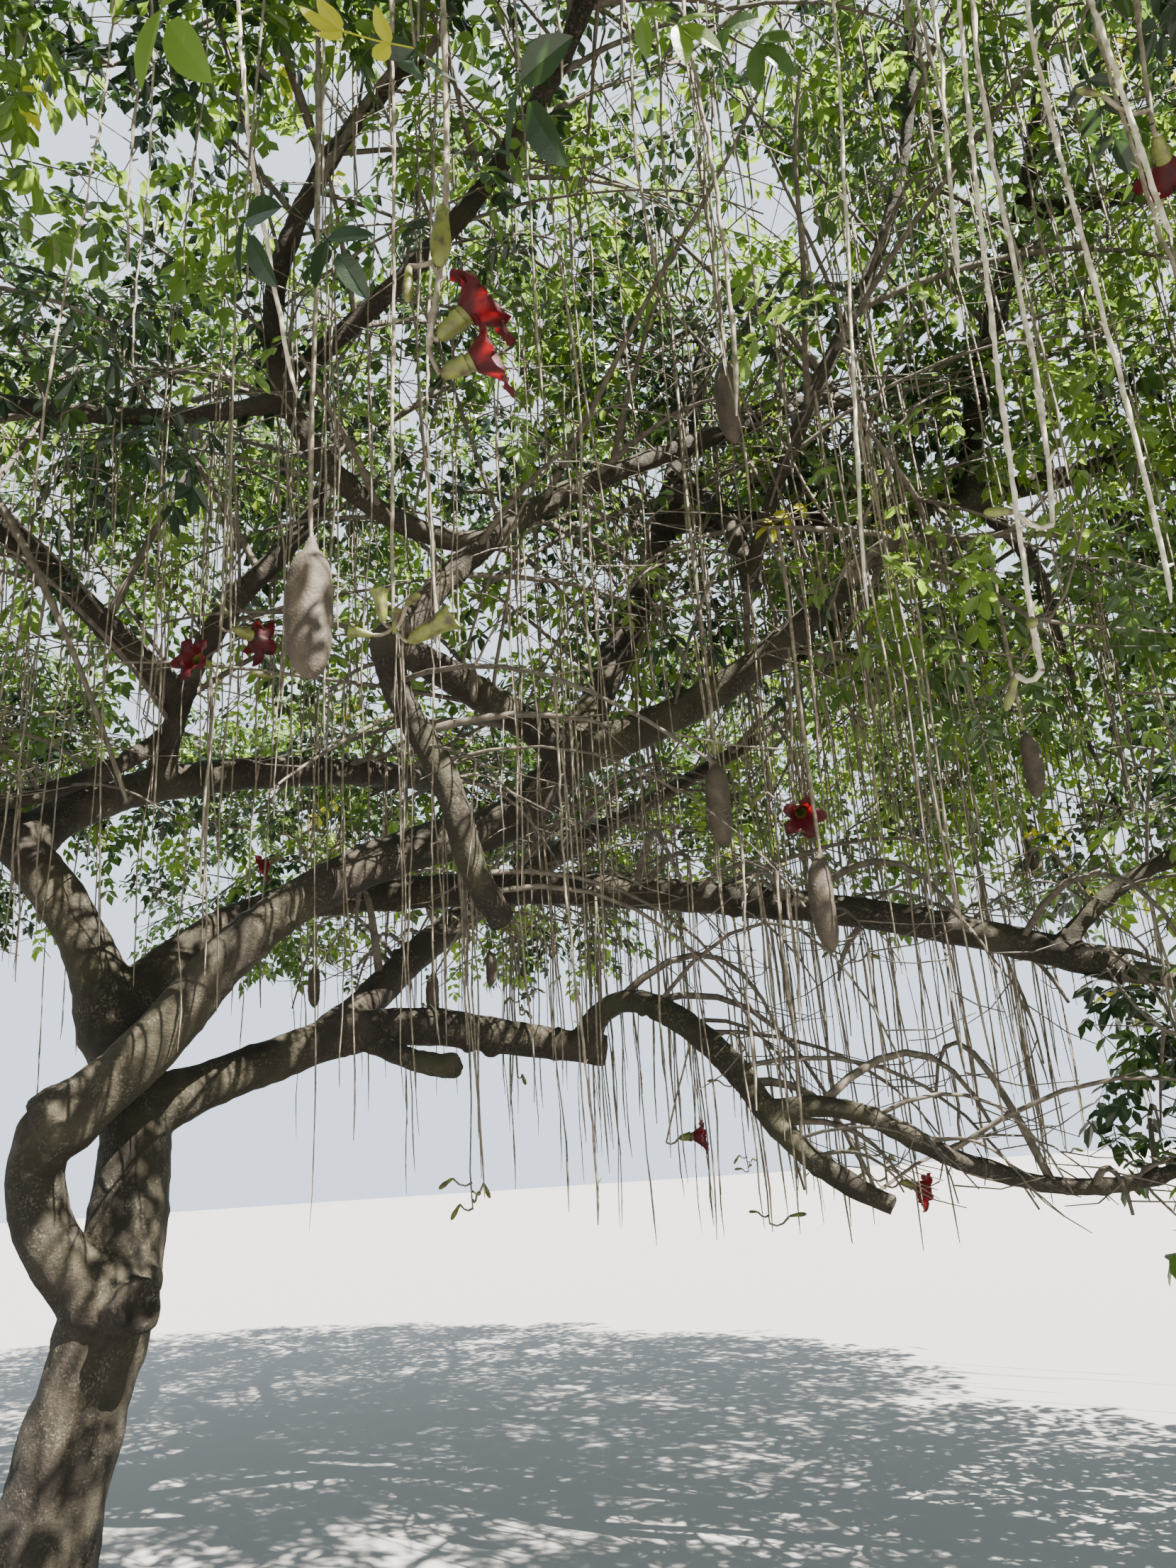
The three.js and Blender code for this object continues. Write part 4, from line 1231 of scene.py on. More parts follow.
def add_relief(mesh):
    """Moves the skin in and out by fine lumps, and cuts it level at the ground."""
    count = len(mesh.vertices)
    place = np.empty(count * 3, np.float32)
    normal = np.empty(count * 3, np.float32)
    mesh.vertices.foreach_get("co", place)
    mesh.vertex_normals.foreach_get("vector", normal)
    place = place.reshape(-1, 3) / MM
    normal = normal.reshape(-1, 3)
    height = np.zeros(count)
    for size, depth in FINE_RELIEF:
        height += depth * lumps(place, size)
    place += normal * height[:, None]
    place[:, 2] = np.maximum(place[:, 2], 0)
    mesh.vertices.foreach_set("co", (place * MM).astype(np.float32).ravel())
    mesh.update()


# Foliage

def flat_leaflet(length, width, edge):
    """A fan of triangles over an outline whose tip hangs and whose edges are lifted a little."""
    left = [[along * length, half * width, lift * width] for along, half, lift in edge]
    right = [[x, -y, z] for x, y, z in reversed(left)]
    outline = np.array([[0, 0, 0], *left, [length, 0, -LEAFLET_DIP * length], *right])
    return outline, np.array([[0, index + 1, index] for index in range(1, len(outline) - 1)])


def folded_leaflet(length, width):
    """Both halves rise from a drooping midrib."""
    along, half = np.array(NEAR_LEAFLET["half"]).T
    half = half * width
    rib = np.stack([along * length, 0 * along, -NEAR_LEAFLET["droop"] * length * along**2], -1)
    lift = half * NEAR_LEAFLET["fold"]
    left = rib + np.stack([0 * half, half, lift], -1)
    right = rib + np.stack([0 * half, -half, lift], -1)
    steps = len(rib) - 1
    faces = []
    for step in range(steps):
        for to_edge, is_right in ((steps, False), (2 * steps - 1, True)):
            edge_here = step + to_edge
            edge_next = edge_here + 1
            triangles = [[step, step + 1, edge_here if step == steps - 1 else edge_next]]
            if 0 < step < steps - 1:
                triangles.append([step, edge_next, edge_here])
            faces += [triangle[::-1] if is_right else triangle for triangle in triangles]
    return np.vstack([rib, left[1:-1], right[1:-1]]), np.array(faces)


def leaflet_shape(length, width, grade):
    """An oval leaflet along +X, with more faces the nearer its grade is to the eye."""
    if grade == "near":
        return folded_leaflet(length, width)
    return flat_leaflet(length, width, LEAFLET_EDGES[grade])


def leaf_template(pairs, length, leaflet, droop, draw, grade):
    """A pinnate leaf along +X: a thin rib, pairs of oval leaflets and one at the tip."""
    heap = Heap()

    def rib_point(share):
        return np.array([length * share, 0, -droop * length * share**2])

    def add_leaflet(size, width, share, turns):
        vertices, faces = leaflet_shape(size, width, grade)
        turn = Matrix.Identity(3)
        for angle, axis in turns:
            turn = turn @ Matrix.Rotation(math.radians(angle), 3, axis)
        heap.add(vertices @ np.array(turn).T + rib_point(share), faces)

    for number, share in enumerate(np.linspace(*LEAFLET_PLACES, pairs)):
        for side in (-1, 1):
            grown = LEAFLET_SIZE["first"] + LEAFLET_SIZE["growth"] * (number + 1) / pairs
            size = leaflet * grown * (LEAFLET_SIZE["least"] + LEAFLET_SIZE["spread"] * draw())
            angle = LEAFLET_AIM["angle"] - LEAFLET_AIM["forward"] * share
            angle += LEAFLET_SHAKE["angle"] * (draw() - 0.5)
            tilt = LEAFLET_AIM["tilt"] + LEAFLET_SHAKE["tilt"] * (draw() - 0.5)
            roll = LEAFLET_SHAKE["roll"] * (draw() - 0.5)
            turns = [(side * angle, "Z"), (-tilt, "Y"), (roll, "X")]
            add_leaflet(size, size * LEAFLET_SIZE["width"], share, turns)
    tip_turns = [(TIP_LEAFLET["angle"] + TIP_LEAFLET["droop"] * droop, "Y")]
    add_leaflet(leaflet * TIP_LEAFLET["length"], leaflet * TIP_LEAFLET["width"], 1, tip_turns)
    rib = np.array([rib_point(share) for share in (0, 0.5, 1)])
    wide = np.array([0, RIB_HALF_WIDTH, 0])
    faces = [[0, 2, 5]] if grade == "far" else [[0, 1, 4], [0, 4, 3], [1, 2, 5], [1, 5, 4]]
    heap.add(np.vstack([rib - wide, rib + wide]), faces)
    return np.vstack(heap.vertices), np.vstack(heap.faces)


def turned_to(directions, rolls):
    """Rotation matrices that take +X to each direction, with +Z as near up as the roll lets it."""
    forward = directions / np.linalg.norm(directions, axis=1)[:, None]
    across = np.cross(np.broadcast_to(UP, forward.shape), forward)
    across /= np.maximum(np.linalg.norm(across, axis=1)[:, None], 1e-6)
    face = np.cross(forward, across)
    cos = np.cos(rolls)[:, None]
    sin = np.sin(rolls)[:, None]
    across, face = across * cos + face * sin, face * cos - across * sin
    return np.stack([forward, across, face], -1)


def add_copies(heap, template, places, turns, scales):
    vertices, faces = template
    placed = np.einsum("nij,vj->nvi", turns, vertices) * scales[:, None, None] + places[:, None]
    offsets = (np.arange(len(places)) * len(vertices))[:, None, None]
    heap.add(placed, (faces[None] + offsets).reshape(-1, 3))


class Growth:
    """The finer twigs and the leaves, as rows that are made into meshes at the end."""

    def __init__(self):
        self.branchlets = []
        self.sides = []
        self.twiglets = []
        self.leaves = []
        self.shown = []


def branchlet(wood, target, draw):
    """A side twig from the nearest fitting place on a mass's wood to a target."""
    places = [(path, share) for path in wood for share in BRANCHLET_STARTS]
    path, share = min(places, key=lambda place: np.linalg.norm(target - point_on(*place)))
    start = point_on(path, share)
    reach = np.linalg.norm(target - start)
    bend = start + direction_on(path, share) * reach * BRANCHLET_BEND["along"]
    bend += UP * reach * BRANCHLET_BEND["up"]
    bend += shake(draw, 3) * reach * BRANCHLET_BEND["sideways"]
    return curved_path(start, bend, target, BRANCHLET_RINGS - 1)


def fills(name, low, high, point):
    """Whether a point lies in a mass's own space and near its CAD node's box."""
    in_box = (point > low - NODE_MARGIN) & (point < high + NODE_MARGIN)
    return in_own_space(name, point, SPACE_MARGIN).all() and in_box.all()


def is_bared(root, draw):
    """Whether no leaf grows at a place in the crown's middle, by chance."""
    away = (root - np.array(CROWN["centre"])) / np.array(CROWN["reach"])[[0, 0, 1]]
    depth = (HEART["edge"] - np.linalg.norm(away)) / HEART["fade"]
    return draw() < HEART["bare"] * min(1, max(0, depth))


def whorls_on(growth, fits, path, whorls, tone, draw):
    """Leaves in whorls round a twig, drooping a little, where their tips keep to the space."""
    turn = draw() * 360
    for share, count in whorls:
        root = point_on(path, share)
        along = direction_on(path, share)
        turn += WHORL["turn"]
        for number in range(count):
            heading = turn + number * 360 / count + WHORL["uneven"] * (draw() - 0.5)
            spread = aim(heading, between(WHORL["rise"], draw()))
            direction = unit(spread + along * between(WHORL["forward"], draw()))
            size = LEAF_SIZE["least"] + LEAF_SIZE["spread"] * draw()
            tip = root + direction * BLADE_LENGTH * size * LEAF_TIP
            if fits(tip) and not is_bared(root, draw):
                roll = (draw() - 0.5) * LEAF_ROLL
                growth.leaves.append((root, direction, size, roll, tone, draw()))


def aim_aside(path, share, number, look, draw):
    """A direction to one side of a path for the odd numbers, and to the other for the even."""
    along = direction_on(path, share)
    turn = look["turn"] if number % 2 else -look["turn"]
    heading = math.degrees(math.atan2(along[1], along[0])) + turn
    return aim(heading + look["uneven"] * (draw() - 0.5), look["lowest"] + look["rise"] * draw())


def twiglet_from(growth, fits, path, share, direction, length, whorls, tone, draw):
    start = point_on(path, share)
    end = start + direction * length
    if not fits(end):
        return
    onwards = direction_on(path, share) * TWIGLET_BEND["along"]
    bend = start + (direction * TWIGLET_BEND["straight"] + onwards) * length
    twiglet = curved_path(start, bend, end, TWIGLET_RINGS - 1)
    growth.twiglets.append(twiglet)
    whorls_on(growth, fits, twiglet, whorls, tone, draw)


def shell_spots(name, fits, draw):
    """Points spread evenly over shells of a mass, each drawn in until it fits."""
    _, centre, reach, inner = MASSES[name]
    scale = np.array([reach[0], reach[0], reach[1]], float)
    turn = draw() * 360
    found = []
    for shell, count in SHELLS:
        count = round(count * (INNER_SHARE if inner else 1))
        for index in range(count):
            height = 1 - 2 * (index + 0.5) / count
            turn += GOLDEN_ANGLE
            outwards = aim(turn, math.degrees(math.asin(height))) * scale * shell
            spots = [np.array(centre) + outwards * drawn for drawn in SHELL_DRAWN_IN]
            spot = next((one for one in spots if fits(one)), None)
            if spot is not None:
                found.append(spot)
    return found


def grow_finer(name, mass, growth):
    """Finer twigs all over a mass, each with twiglets and leaves, and a spray per large leaf."""
    low, high = (np.array(corner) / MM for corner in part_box(name))
    draw = random_source(MASS_NAMES.index(name) + SEEDS["masses"])
    wood = [mass["stem"]["path"]] + [twig["path"] for twig in mass["twigs"]]

    def fits(point):
        return fills(name, low, high, point)

    fine_paths = [branchlet(wood, spot, draw) for spot in shell_spots(name, fits, draw)]
    growth.branchlets += fine_paths
    for path in fine_paths:
        tone = draw()
        whorls_on(growth, fits, path, BRANCHLET_WHORLS, tone, draw)
        for number, share in enumerate(TWIGLET_PLACES):
            direction = aim_aside(path, share, number, TWIGLET_AIM, draw)
            length = between(TWIGLET_LENGTH, draw())
            twiglet_from(growth, fits, path, share, direction, length, TWIGLET_WHORLS, tone, draw)
    for root, direction in mass["leaves"]:
        grow_spray(growth, fits, root, direction, draw)


def grow_spray(growth, fits, root, direction, draw):
    """A twig with leaves and twiglets, in the place of one of the source's large leaves."""
    tone = draw()
    end = root + direction * LEAF["length"] * SPRAY["length"]
    bend = root + direction * LEAF["length"] * SPRAY["bend"] + UP * SPRAY["rise"]
    path = curved_path(root, bend, end, BRANCHLET_RINGS - 1)
    growth.branchlets.append(path)
    whorls_on(growth, fits, path, SPRAY_WHORLS, tone, draw)
    across = unit(np.cross(direction, UP))
    for side, share in SPRAY_TWIGLETS:
        outwards = across * side * SPRAY_AIM["sideways"] + direction * SPRAY_AIM["forward"]
        outwards = unit(outwards + UP * SPRAY_AIM["up"] * draw())
        twiglet_from(growth, fits, path, share, outwards, SPRAY["twiglet"], TIP_WHORL, tone, draw)


def grow_sides(growth):
    """Thin, mostly bare side branches all along the limbs, which arch over and droop."""
    draw = random_source(SEEDS["sides"])
    for name, limb in LIMBS.items():
        if name in BARE_LIMBS:
            continue
        path = LIMB_PATHS[name]
        count = int(limb["length"] / SIDE_SPACING)
        turn = draw() * 360
        for index in range(count):
            share = SIDE_PLACES["from"] + SIDE_PLACES["over"] * (index + draw()) / count
            if between(limb["girth"], share) > SIDE_THICKEST:
                continue
            turn += GOLDEN_ANGLE
            length = between(SIDE_LENGTH, draw() ** SIDE_SHORTNESS)
            tone = draw()
            for retry in range(SIDE_RETRY["tries"]):
                shorter = length * (1 - SIDE_RETRY["shorter"] * retry)
                side = side_branch(path, share, turn + retry * SIDE_RETRY["turn"], shorter, draw)
                if side_fits(side, name):
                    stoutness = between(SIDE_STOUTNESS, draw() ** SIDE_THINNESS)
                    growth.sides.append((side, stoutness))
                    grow_side_twiglets(growth, side, tone, draw)
                    break


def side_branch(path, share, turn, length, draw):
    """A branch that leaves its limb at a slant, arches and droops, more so low in the crown."""
    along = direction_on(path, share)
    outwards = aim(turn, SIDE_AIM["lowest"] + SIDE_AIM["rise"] * draw())
    outwards = unit(outwards - along * (outwards @ along) * SIDE_AIM["square"])
    start = point_on(path, share)
    direction = unit(outwards + along * SIDE_AIM["forward"])
    arch = SIDE_ARCH["least"] + SIDE_ARCH["spread"] * draw()
    bend = start + direction * length * SIDE_ARCH["at"] + UP * length * arch
    low_down = min(1, max(0, (SIDE_LOW["below"] - start[2]) / SIDE_LOW["over"]))
    droop = SIDE_DROOP["least"] + SIDE_DROOP["spread"] * draw() + SIDE_LOW["droop"] * low_down
    end = start + direction * length * (1 - SIDE_LOW["shorter"] * low_down) - UP * length * droop
    side = curved_path(start, bend, end, SIDE_RINGS - 1)
    phase = np.linspace(0, SIDE_WAVE["length"], SIDE_RINGS) + turn
    wave = np.sin(phase)[:, None] * np.cross(direction, UP)
    return side + wave * length * SIDE_WAVE["height"] * np.linspace(0, 1, SIDE_RINGS)[:, None]


def side_fits(side, name):
    in_box = (side > BOX_LOW + SIDE_MARGIN) & (side < BOX_HIGH - SIDE_MARGIN)
    is_left = side[:, 0] < SIDE_LOWEST["parted"]
    lowest = np.where(is_left, SIDE_LOWEST["left"], SIDE_LOWEST["right"])
    if not in_box.all() or (side[2:, 2] < lowest[2:]).any():
        return False
    if eye_distance(side).min() < SIDE_FREE:
        return False
    others = rods.of_owners([limb for limb in LIMBS if limb != name])
    return clear_of(side[2:], others, SIDE_GAP)


def grow_side_twiglets(growth, side, tone, draw):
    is_outside = side[-1][2] > SIDE_LEAFY["height"] or side[-1][0] > SIDE_LEAFY["right"]
    leafy = draw() < SIDE_LEAFY["share"] and is_outside
    lowest = SIDE_LOWEST["right"] - TWIGLET_HANG

    def fits(point):
        return ((point > BOX_LOW) & (point < BOX_HIGH)).all() and point[2] > lowest

    for number, share in enumerate(SIDE_TWIGLETS["places"]):
        direction = aim_aside(side, share, number, SIDE_TWIGLETS, draw)
        whorls = SIDE_WHORLS if leafy and draw() < SIDE_TWIGLETS["leafy"] else ()
        longer = SIDE_TWIGLETS["longer"] if is_outside else 1.0
        length = between(TWIGLET_LENGTH, draw()) * longer
        twiglet_from(growth, fits, side, share, direction, length, whorls, tone, draw)
    if leafy:
        whorls_on(growth, fits, side, TIP_WHORL, tone, draw)


def tapered(girth, rings):
    return np.array([between(girth, share) / 2 for share in np.linspace(0, 1, rings)])


def add_mass_wood(heap, mass):
    stem = mass["stem"]
    path = smooth_path(stem["path"], STEM_MESH["rings"])
    add_tubes(heap, [path], [tapered(stem["girth"], STEM_MESH["rings"])], STEM_MESH["sides"])
    for twig in mass["twigs"]:
        path = smooth_path(twig["path"], TWIG_MESH["rings"])
        radii = tapered(twig["girth"], TWIG_MESH["rings"])
        radii[-1] *= TWIG_TIP
        add_tubes(heap, [path], [radii], TWIG_MESH["sides"])


def add_growth_wood(heap, growth):
    radii = tapered(BRANCHLET_GIRTH, BRANCHLET_RINGS)
    add_tubes(heap, growth.branchlets, radii, BRANCHLET_SIDES)
    stoutness = np.array([scale for _, scale in growth.sides])
    radii = tapered(SIDE_GIRTH, SIDE_RINGS) * stoutness[:, None]
    add_tubes(heap, [side for side, _ in growth.sides], radii, SIDE_SIDES)
    radii = tapered(TWIGLET_GIRTH, TWIGLET_RINGS)
    add_tubes(heap, growth.twiglets, radii, TWIGLET_SIDES)


def shown_leaf(row, points, growth, draw):
    """A leaf close to the eye, at the end of a twig from the nearest wood above it."""
    pixel, y, tone, direction, pairs, rib, leaflet = row
    place = seen_at(pixel, y)
    top = carrier_above(points, place)
    bend = (top + place) / 2 + UP * SHOWN_LEAF["bend"] * np.linalg.norm(top - place)
    twig = curved_path(top, bend, place, SIDE_RINGS - 1)
    growth.sides.append((twig, SHOWN_LEAF["stoutness"]))
    vertices, faces = leaf_template(pairs, rib, leaflet, SHOWN_LEAF["droop"], draw, "near")
    roll = SHOWN_LEAF["roll"] + SHOWN_LEAF["spread"] * draw()
    turn = turned_to(np.array([direction], float), np.array([roll]))[0]
    growth.shown.append((tone, vertices @ turn.T + place, faces))


def limb_samples(name):
    """Points along a limb and its girth at each."""
    shares = np.linspace(0, 1, LIMB_SAMPLES)
    girths = np.array([between(LIMBS[name]["girth"], share) for share in shares])
    return smooth_path(LIMB_PATHS[name], LIMB_SAMPLES), girths


def hides_limb(points):
    """Whether each point lies in front of a limb in the camera's view."""
    across, down, depth = seen_pixels(points)
    hidden = np.zeros(len(points), bool)
    for name in LIMBS:
        path, girths = limb_samples(name)
        limb_across, limb_down, limb_depth = seen_pixels(path)
        reach = FOCAL_PIXELS * (girths / 2 / limb_depth + SIGHT["margin"] / depth[:, None])
        away = np.hypot(across[:, None] - limb_across, down[:, None] - limb_down)
        nearer = depth[:, None] < limb_depth - SIGHT["nearer"]
        hidden |= ((away < reach) & nearer & (limb_depth > SIGHT["least"])).any(1)
    return hidden


def shades_patch(points):
    """Whether each point lies between the sun and a bright patch of a limb."""
    towards = unit(np.array(SUN_FROM))
    side = unit(np.cross(towards, UP))
    rise = np.cross(side, towards)
    shades = np.zeros(len(points), bool)
    for name in SUNNY_LIMBS:
        path, girths = limb_samples(name)
        sunny = lumps(path, SUN_PATCHES["size"]) > 0
        sideways = (points @ side)[:, None] - path @ side
        upwards = (points @ rise)[:, None] - path @ rise
        beside = np.hypot(sideways, upwards) < girths / 2 + SUN_PATCHES["margin"]
        above = (points @ towards)[:, None] > path @ towards + SUN_PATCHES["above"]
        shades |= (beside & above & sunny).any(1)
    return shades


def thinned(leaves, draw):
    """The leaves without most of those that hide a limb or shade a bright patch."""
    middles = np.array([root + direction * BLADE_LENGTH * 0.5 for root, direction, *_ in leaves])
    chance = np.where(hides_limb(middles), SIGHT["bare"], 0)
    chance = np.maximum(chance, np.where(shades_patch(middles), SUN_PATCHES["bare"], 0))
    return [leaf for leaf, bare in zip(leaves, chance) if draw() >= bare]


def leaf_templates(draw):
    """For each grade, a leaf of each droop."""
    return {
        grade: [
            leaf_template(LEAFLET_PAIRS, BLADE_LENGTH, LEAFLET, droop, draw, grade)
            for droop in LEAF_DROOPS
        ]
        for grade in ("near", "middle", "far")
    }


def build_leaves(growth):
    draw = random_source(SEEDS["leaves"])
    templates = leaf_templates(draw)
    columns = zip(*thinned(growth.leaves, draw))
    roots, directions, sizes, rolls, spray_tones, own_tones = map(np.array, columns)
    tones = SPRAY_TONE * spray_tones + (1 - SPRAY_TONE) * own_tones
    kinds = (own_tones * KIND_SHUFFLE % 1 * len(LEAF_DROOPS)).astype(int)
    distance = eye_distance(roots)
    groups = {
        "near": distance < NEAR_LEAF,
        "middle": (distance >= NEAR_LEAF) & (distance < FAR_LEAF),
        "far": distance >= FAR_LEAF,
    }
    turns = turned_to(directions, rolls)
    lowest = 0
    for tone, (highest, *look) in LEAF_LOOKS.items():
        heap = Heap()
        of_tone = (tones >= lowest) & (tones < highest)
        lowest = highest
        for grade, group in groups.items():
            for index, template in enumerate(templates[grade]):
                pick = of_tone & group & (kinds == index)
                if pick.any():
                    add_copies(heap, template, roots[pick], turns[pick], sizes[pick])
        for shown_tone, vertices, faces in growth.shown:
            if shown_tone == tone:
                heap.add(vertices, faces)
        piece_from(f"{tone}_leaves", heap, leaf_material(f"{tone}_leaf", *look), smooth=False)


# Hanging stalks, fruits and flowers

def rope_look(points):
    distance = eye_distance(points.mean(0))
    if distance < CLOSE_ROPE["distance"]:
        return CLOSE_ROPE
    return NEAR_ROPE if distance < NEAR_ROPE["distance"] else FAR_ROPE


def rope_radii(path, girth, draw):
    """A stalk is thicker at its top and at the joints that old flowers left."""
    share = np.linspace(0, 1, len(path))
    kinds = ("joint" if draw() < ROPE_GIRTHS["chance"] else "between" for _ in path)
    joints = np.array([ROPE_GIRTHS[kind] * draw() for kind in kinds])
    top = ROPE_TOP["thicker"] * np.exp(-share * ROPE_TOP["fade"])
    return girth / 2 * (ROPE_GIRTHS["least"] + joints + top)


def rope_path(points, ring, draw, sway):
    """A line that waves and kinks a little sideways between its two ends."""
    length = np.linalg.norm(np.diff(points, axis=0), axis=1).sum()
    rings = max(ROPE_RINGS, int(length / ring))
    path = smooth_path(points, rings)
    share = np.linspace(0, 1, rings)[:, None]
    phase = np.array([draw(), draw(), 0]) * FULL_TURN
    wave = np.sin(phase + share * between(ROPE_WAVE["waves"], draw()))
    wave = wave * length * ROPE_WAVE["height"] * sway
    wave[:, 2] = 0
    kink = np.array([level_shake(draw) for _ in range(rings)])
    kink = kink * min(ROPE_KINK["most"], ring / ROPE_KINK["rings"]) * sway
    return path + (wave + kink) * np.sin(share * math.pi) ** 0.5


def add_rope(heap, points, girth, draw, sway=1.0, tip=ROPE_TIP):
    points = np.array(points, float)
    look = rope_look(points)
    path = rope_path(points, look["ring"], draw, sway)
    radii = rope_radii(path, girth, draw)
    radii[-1] *= tip
    add_tubes(heap, [path], [radii], look["sides"])
    if look is not FAR_ROPE:
        add_pegs(heap, path, girth, look, draw)
    return path


def add_pegs(heap, path, girth, look, draw):
    """Short stubs that flowers left, each turned from the one above."""
    heading = draw() * 360
    radii = [girth * share for share in PEG["radii"]]
    for index in range(2, len(path) - 1, max(1, round(look["pegs"] / look["ring"]))):
        heading += between(PEG["turn"], draw())
        out = aim(heading, between(PEG["rise"], draw()))
        length = girth / 2 + PEG["least"] + look["pegs"] * PEG["length"] * draw() ** 2
        add_tubes(heap, [[path[index], path[index] + out * length]], [radii], PEG_SIDES)


def clear_of(points, rows, gap):
    return (rod_distances(points, rows) > rows[:, 6] + gap).all()


def carriers(grown, growth):
    """Points on the twigs, the side branches and the thin limbs that stalks hang from."""
    draw = random_source(SEEDS["carriers"])
    woods = []
    for mass in grown.values():
        woods += [(wood["path"], CARRIERS["twig"]) for wood in mass["twigs"] + [mass["stem"]]]
    for name, limb in LIMBS.items():
        if limb["girth"][-1] < CARRIERS["thickest"] and name not in BARE_LIMBS:
            woods.append((LIMB_PATHS[name], CARRIERS["limb"]))
    woods += [(side, CARRIERS["side"]) for side, _ in growth.sides]
    woods += [(path, 1) for path in growth.branchlets[::2]]
    paths = [path for path, count in woods for _ in range(count)]
    start, over = CARRIER_PLACES["from"], CARRIER_PLACES["over"]
    return np.array([point_on(path, start + over * draw()) for path in paths])


def carrier_above(points, place):
    """The carrier that a stalk through a place hangs from: the one most nearly above it."""
    above = points[points[:, 2] > place[2] + CARRIERS["above"]]
    away = above - place
    cost = np.hypot(away[:, 0], away[:, 1]) + CARRIERS["climb"] * away[:, 2]
    return above[np.argmin(cost)]


def seeded_ropes(points):
    """Stalks that hang straight down all over the crown, clear of the limbs below them."""
    draw = random_source(SEEDS["ropes"])
    limbs = rods.of_owners(list(LIMBS))
    ropes = []
    while len(ropes) < ROPE_COUNT:
        top = points[int(draw() * len(points))]
        drop = between(ROPE_DROP, draw() ** ROPE_SHORTNESS)
        far_right = top[0] > FAR_RIGHT["x"] and top[1] > FAR_RIGHT["y"]
        lowest = between(LOWEST_FAR_ROPE if far_right else LOWEST_ROPE, draw())
        foot_height = max(lowest, top[2] - drop * (FAR_RIGHT["drop"] if far_right else 1))
        lean = level_shake(draw) * ROPE_LEAN * drop
        foot = np.array([top[0], top[1], foot_height]) + lean
        girth = between(ROPE_GIRTH, draw())
        if top[2] - foot_height < ROPE_SHORTEST:
            continue
        checks = top + (foot - top) * np.linspace(*ROPE_CHECKS)[:, None]
        if eye_distance(checks).min() < ROPE_FREE:
            continue
        if clear_of(checks, limbs, ROPE_GAP):
            ropes.append(([top, foot], girth))
    return ropes


def add_fruit(heap, top, foot, length, girth, draw):
    """A long fruit that swells from its stalk, with a narrower foot and faint ridges."""
    length *= FRUIT_STRETCH["length"]
    girth *= FRUIT_STRETCH["girth"]
    along = np.linspace(0, 1, FRUIT_RINGS)
    profile = np.array([between(FRUIT_SHAPE, share) for share in along])
    bend = level_shake(draw) * girth * FRUIT_BEND
    path = np.array([top[0], top[1], foot + length]) - UP * (along * length)[:, None]
    path = path + bend * np.sin(along * np.pi)[:, None]
    angle = ring_angles(FRUIT_SIDES)
    phase = draw() * FULL_TURN
    (few, high), (many, low) = FRUIT_RIDGES
    ridges = 1 + high * np.cos(few * angle + phase) + low * np.cos(many * angle - phase)
    (few, high), (many, low) = FRUIT_WAVES
    rings = 1 + high * np.sin(along * few + phase) + low * np.sin(along * many)
    closed_tube(heap, path, girth / 2 * profile[:, None] * ridges[None] * rings[:, None])


def small_ring(centre, forward, radius, sides, ruffle):
    side = unit(np.cross(forward, FIRST_SIDE))
    waves = np.abs(np.cos(RUFFLE["waves"] * ring_angles(sides)))
    spread = radius * (1 - RUFFLE["inwards"] * ruffle + RUFFLE["outwards"] * ruffle * waves)
    return centre + spokes_of(side, np.cross(forward, side), sides) * spread[:, None]


def add_bell(heap, start, forward, bell, along, across, draw):
    """An open bell of rings along a line that bends down by its droop."""
    start = np.array(start, float)
    forward = unit(np.array(forward, float))
    rings = []
    for distance, radius, ruffle in bell["rings"]:
        distance *= along
        radius *= across
        centre = start + forward * distance - UP * bell["droop"] * distance**2 / 100
        ring = small_ring(centre, forward, radius, bell["sides"], ruffle)
        uneven = shake(draw, bell["sides"]) * ruffle * radius * RUFFLE["uneven"]
        rings.append(ring + forward * uneven[:, None])
    heap.add(rings, tube_faces(len(rings), bell["sides"]))


def add_flower(heaps, start, forward, scale, draw):
    """A green and brown cup and tube, and a wide drooping mouth of dark ruffled lobes."""
    add_bell(heaps["calyces"], start, forward, FLOWER_CUP, scale, scale, draw)
    add_bell(heaps["calyces"], start, forward, FLOWER_TUBE, scale, scale, draw)
    add_bell(heaps["petals"], start, forward, FLOWER_MOUTH, scale, scale, draw)


def add_bud(heaps, start, forward, length, draw):
    """A long green bud, thickest past its middle."""
    radius = length * (BUD_GIRTH["least"] + BUD_GIRTH["spread"] * draw())
    add_bell(heaps["calyces"], start, forward, BUD, length, radius, draw)


def add_thin_stalk(heap, start, bend, end, look):
    radii, sides = look
    add_tubes(heap, [curved_path(start, bend, end, len(radii) - 1)], [radii], sides)


def add_cluster(stalks, heaps, place, buds, flowers, draw):
    """The foot of a flower stalk: short side stalks that turn up and end in buds and flowers."""
    turn = draw() * 360
    for number in range(buds + flowers):
        turn += GOLDEN_ANGLE
        start = place + UP * number * CLUSTER["apart"]
        reach = between(CLUSTER["reach"], draw())
        end = start + aim(turn, CLUSTER["rise"]) * reach
        bend = start + aim(turn, CLUSTER["dip"]) * reach * CLUSTER["bend"]
        add_thin_stalk(stalks, start, bend, end, CLUSTER_STALK)
        facing = aim(turn, between(CLUSTER["facing"], draw()))
        if number < flowers:
            add_flower(heaps, end, facing, between(CLUSTER["flower"], draw()), draw)
        else:
            add_bud(heaps, end, facing, between(CLUSTER["bud"], draw()), draw)


# Materials

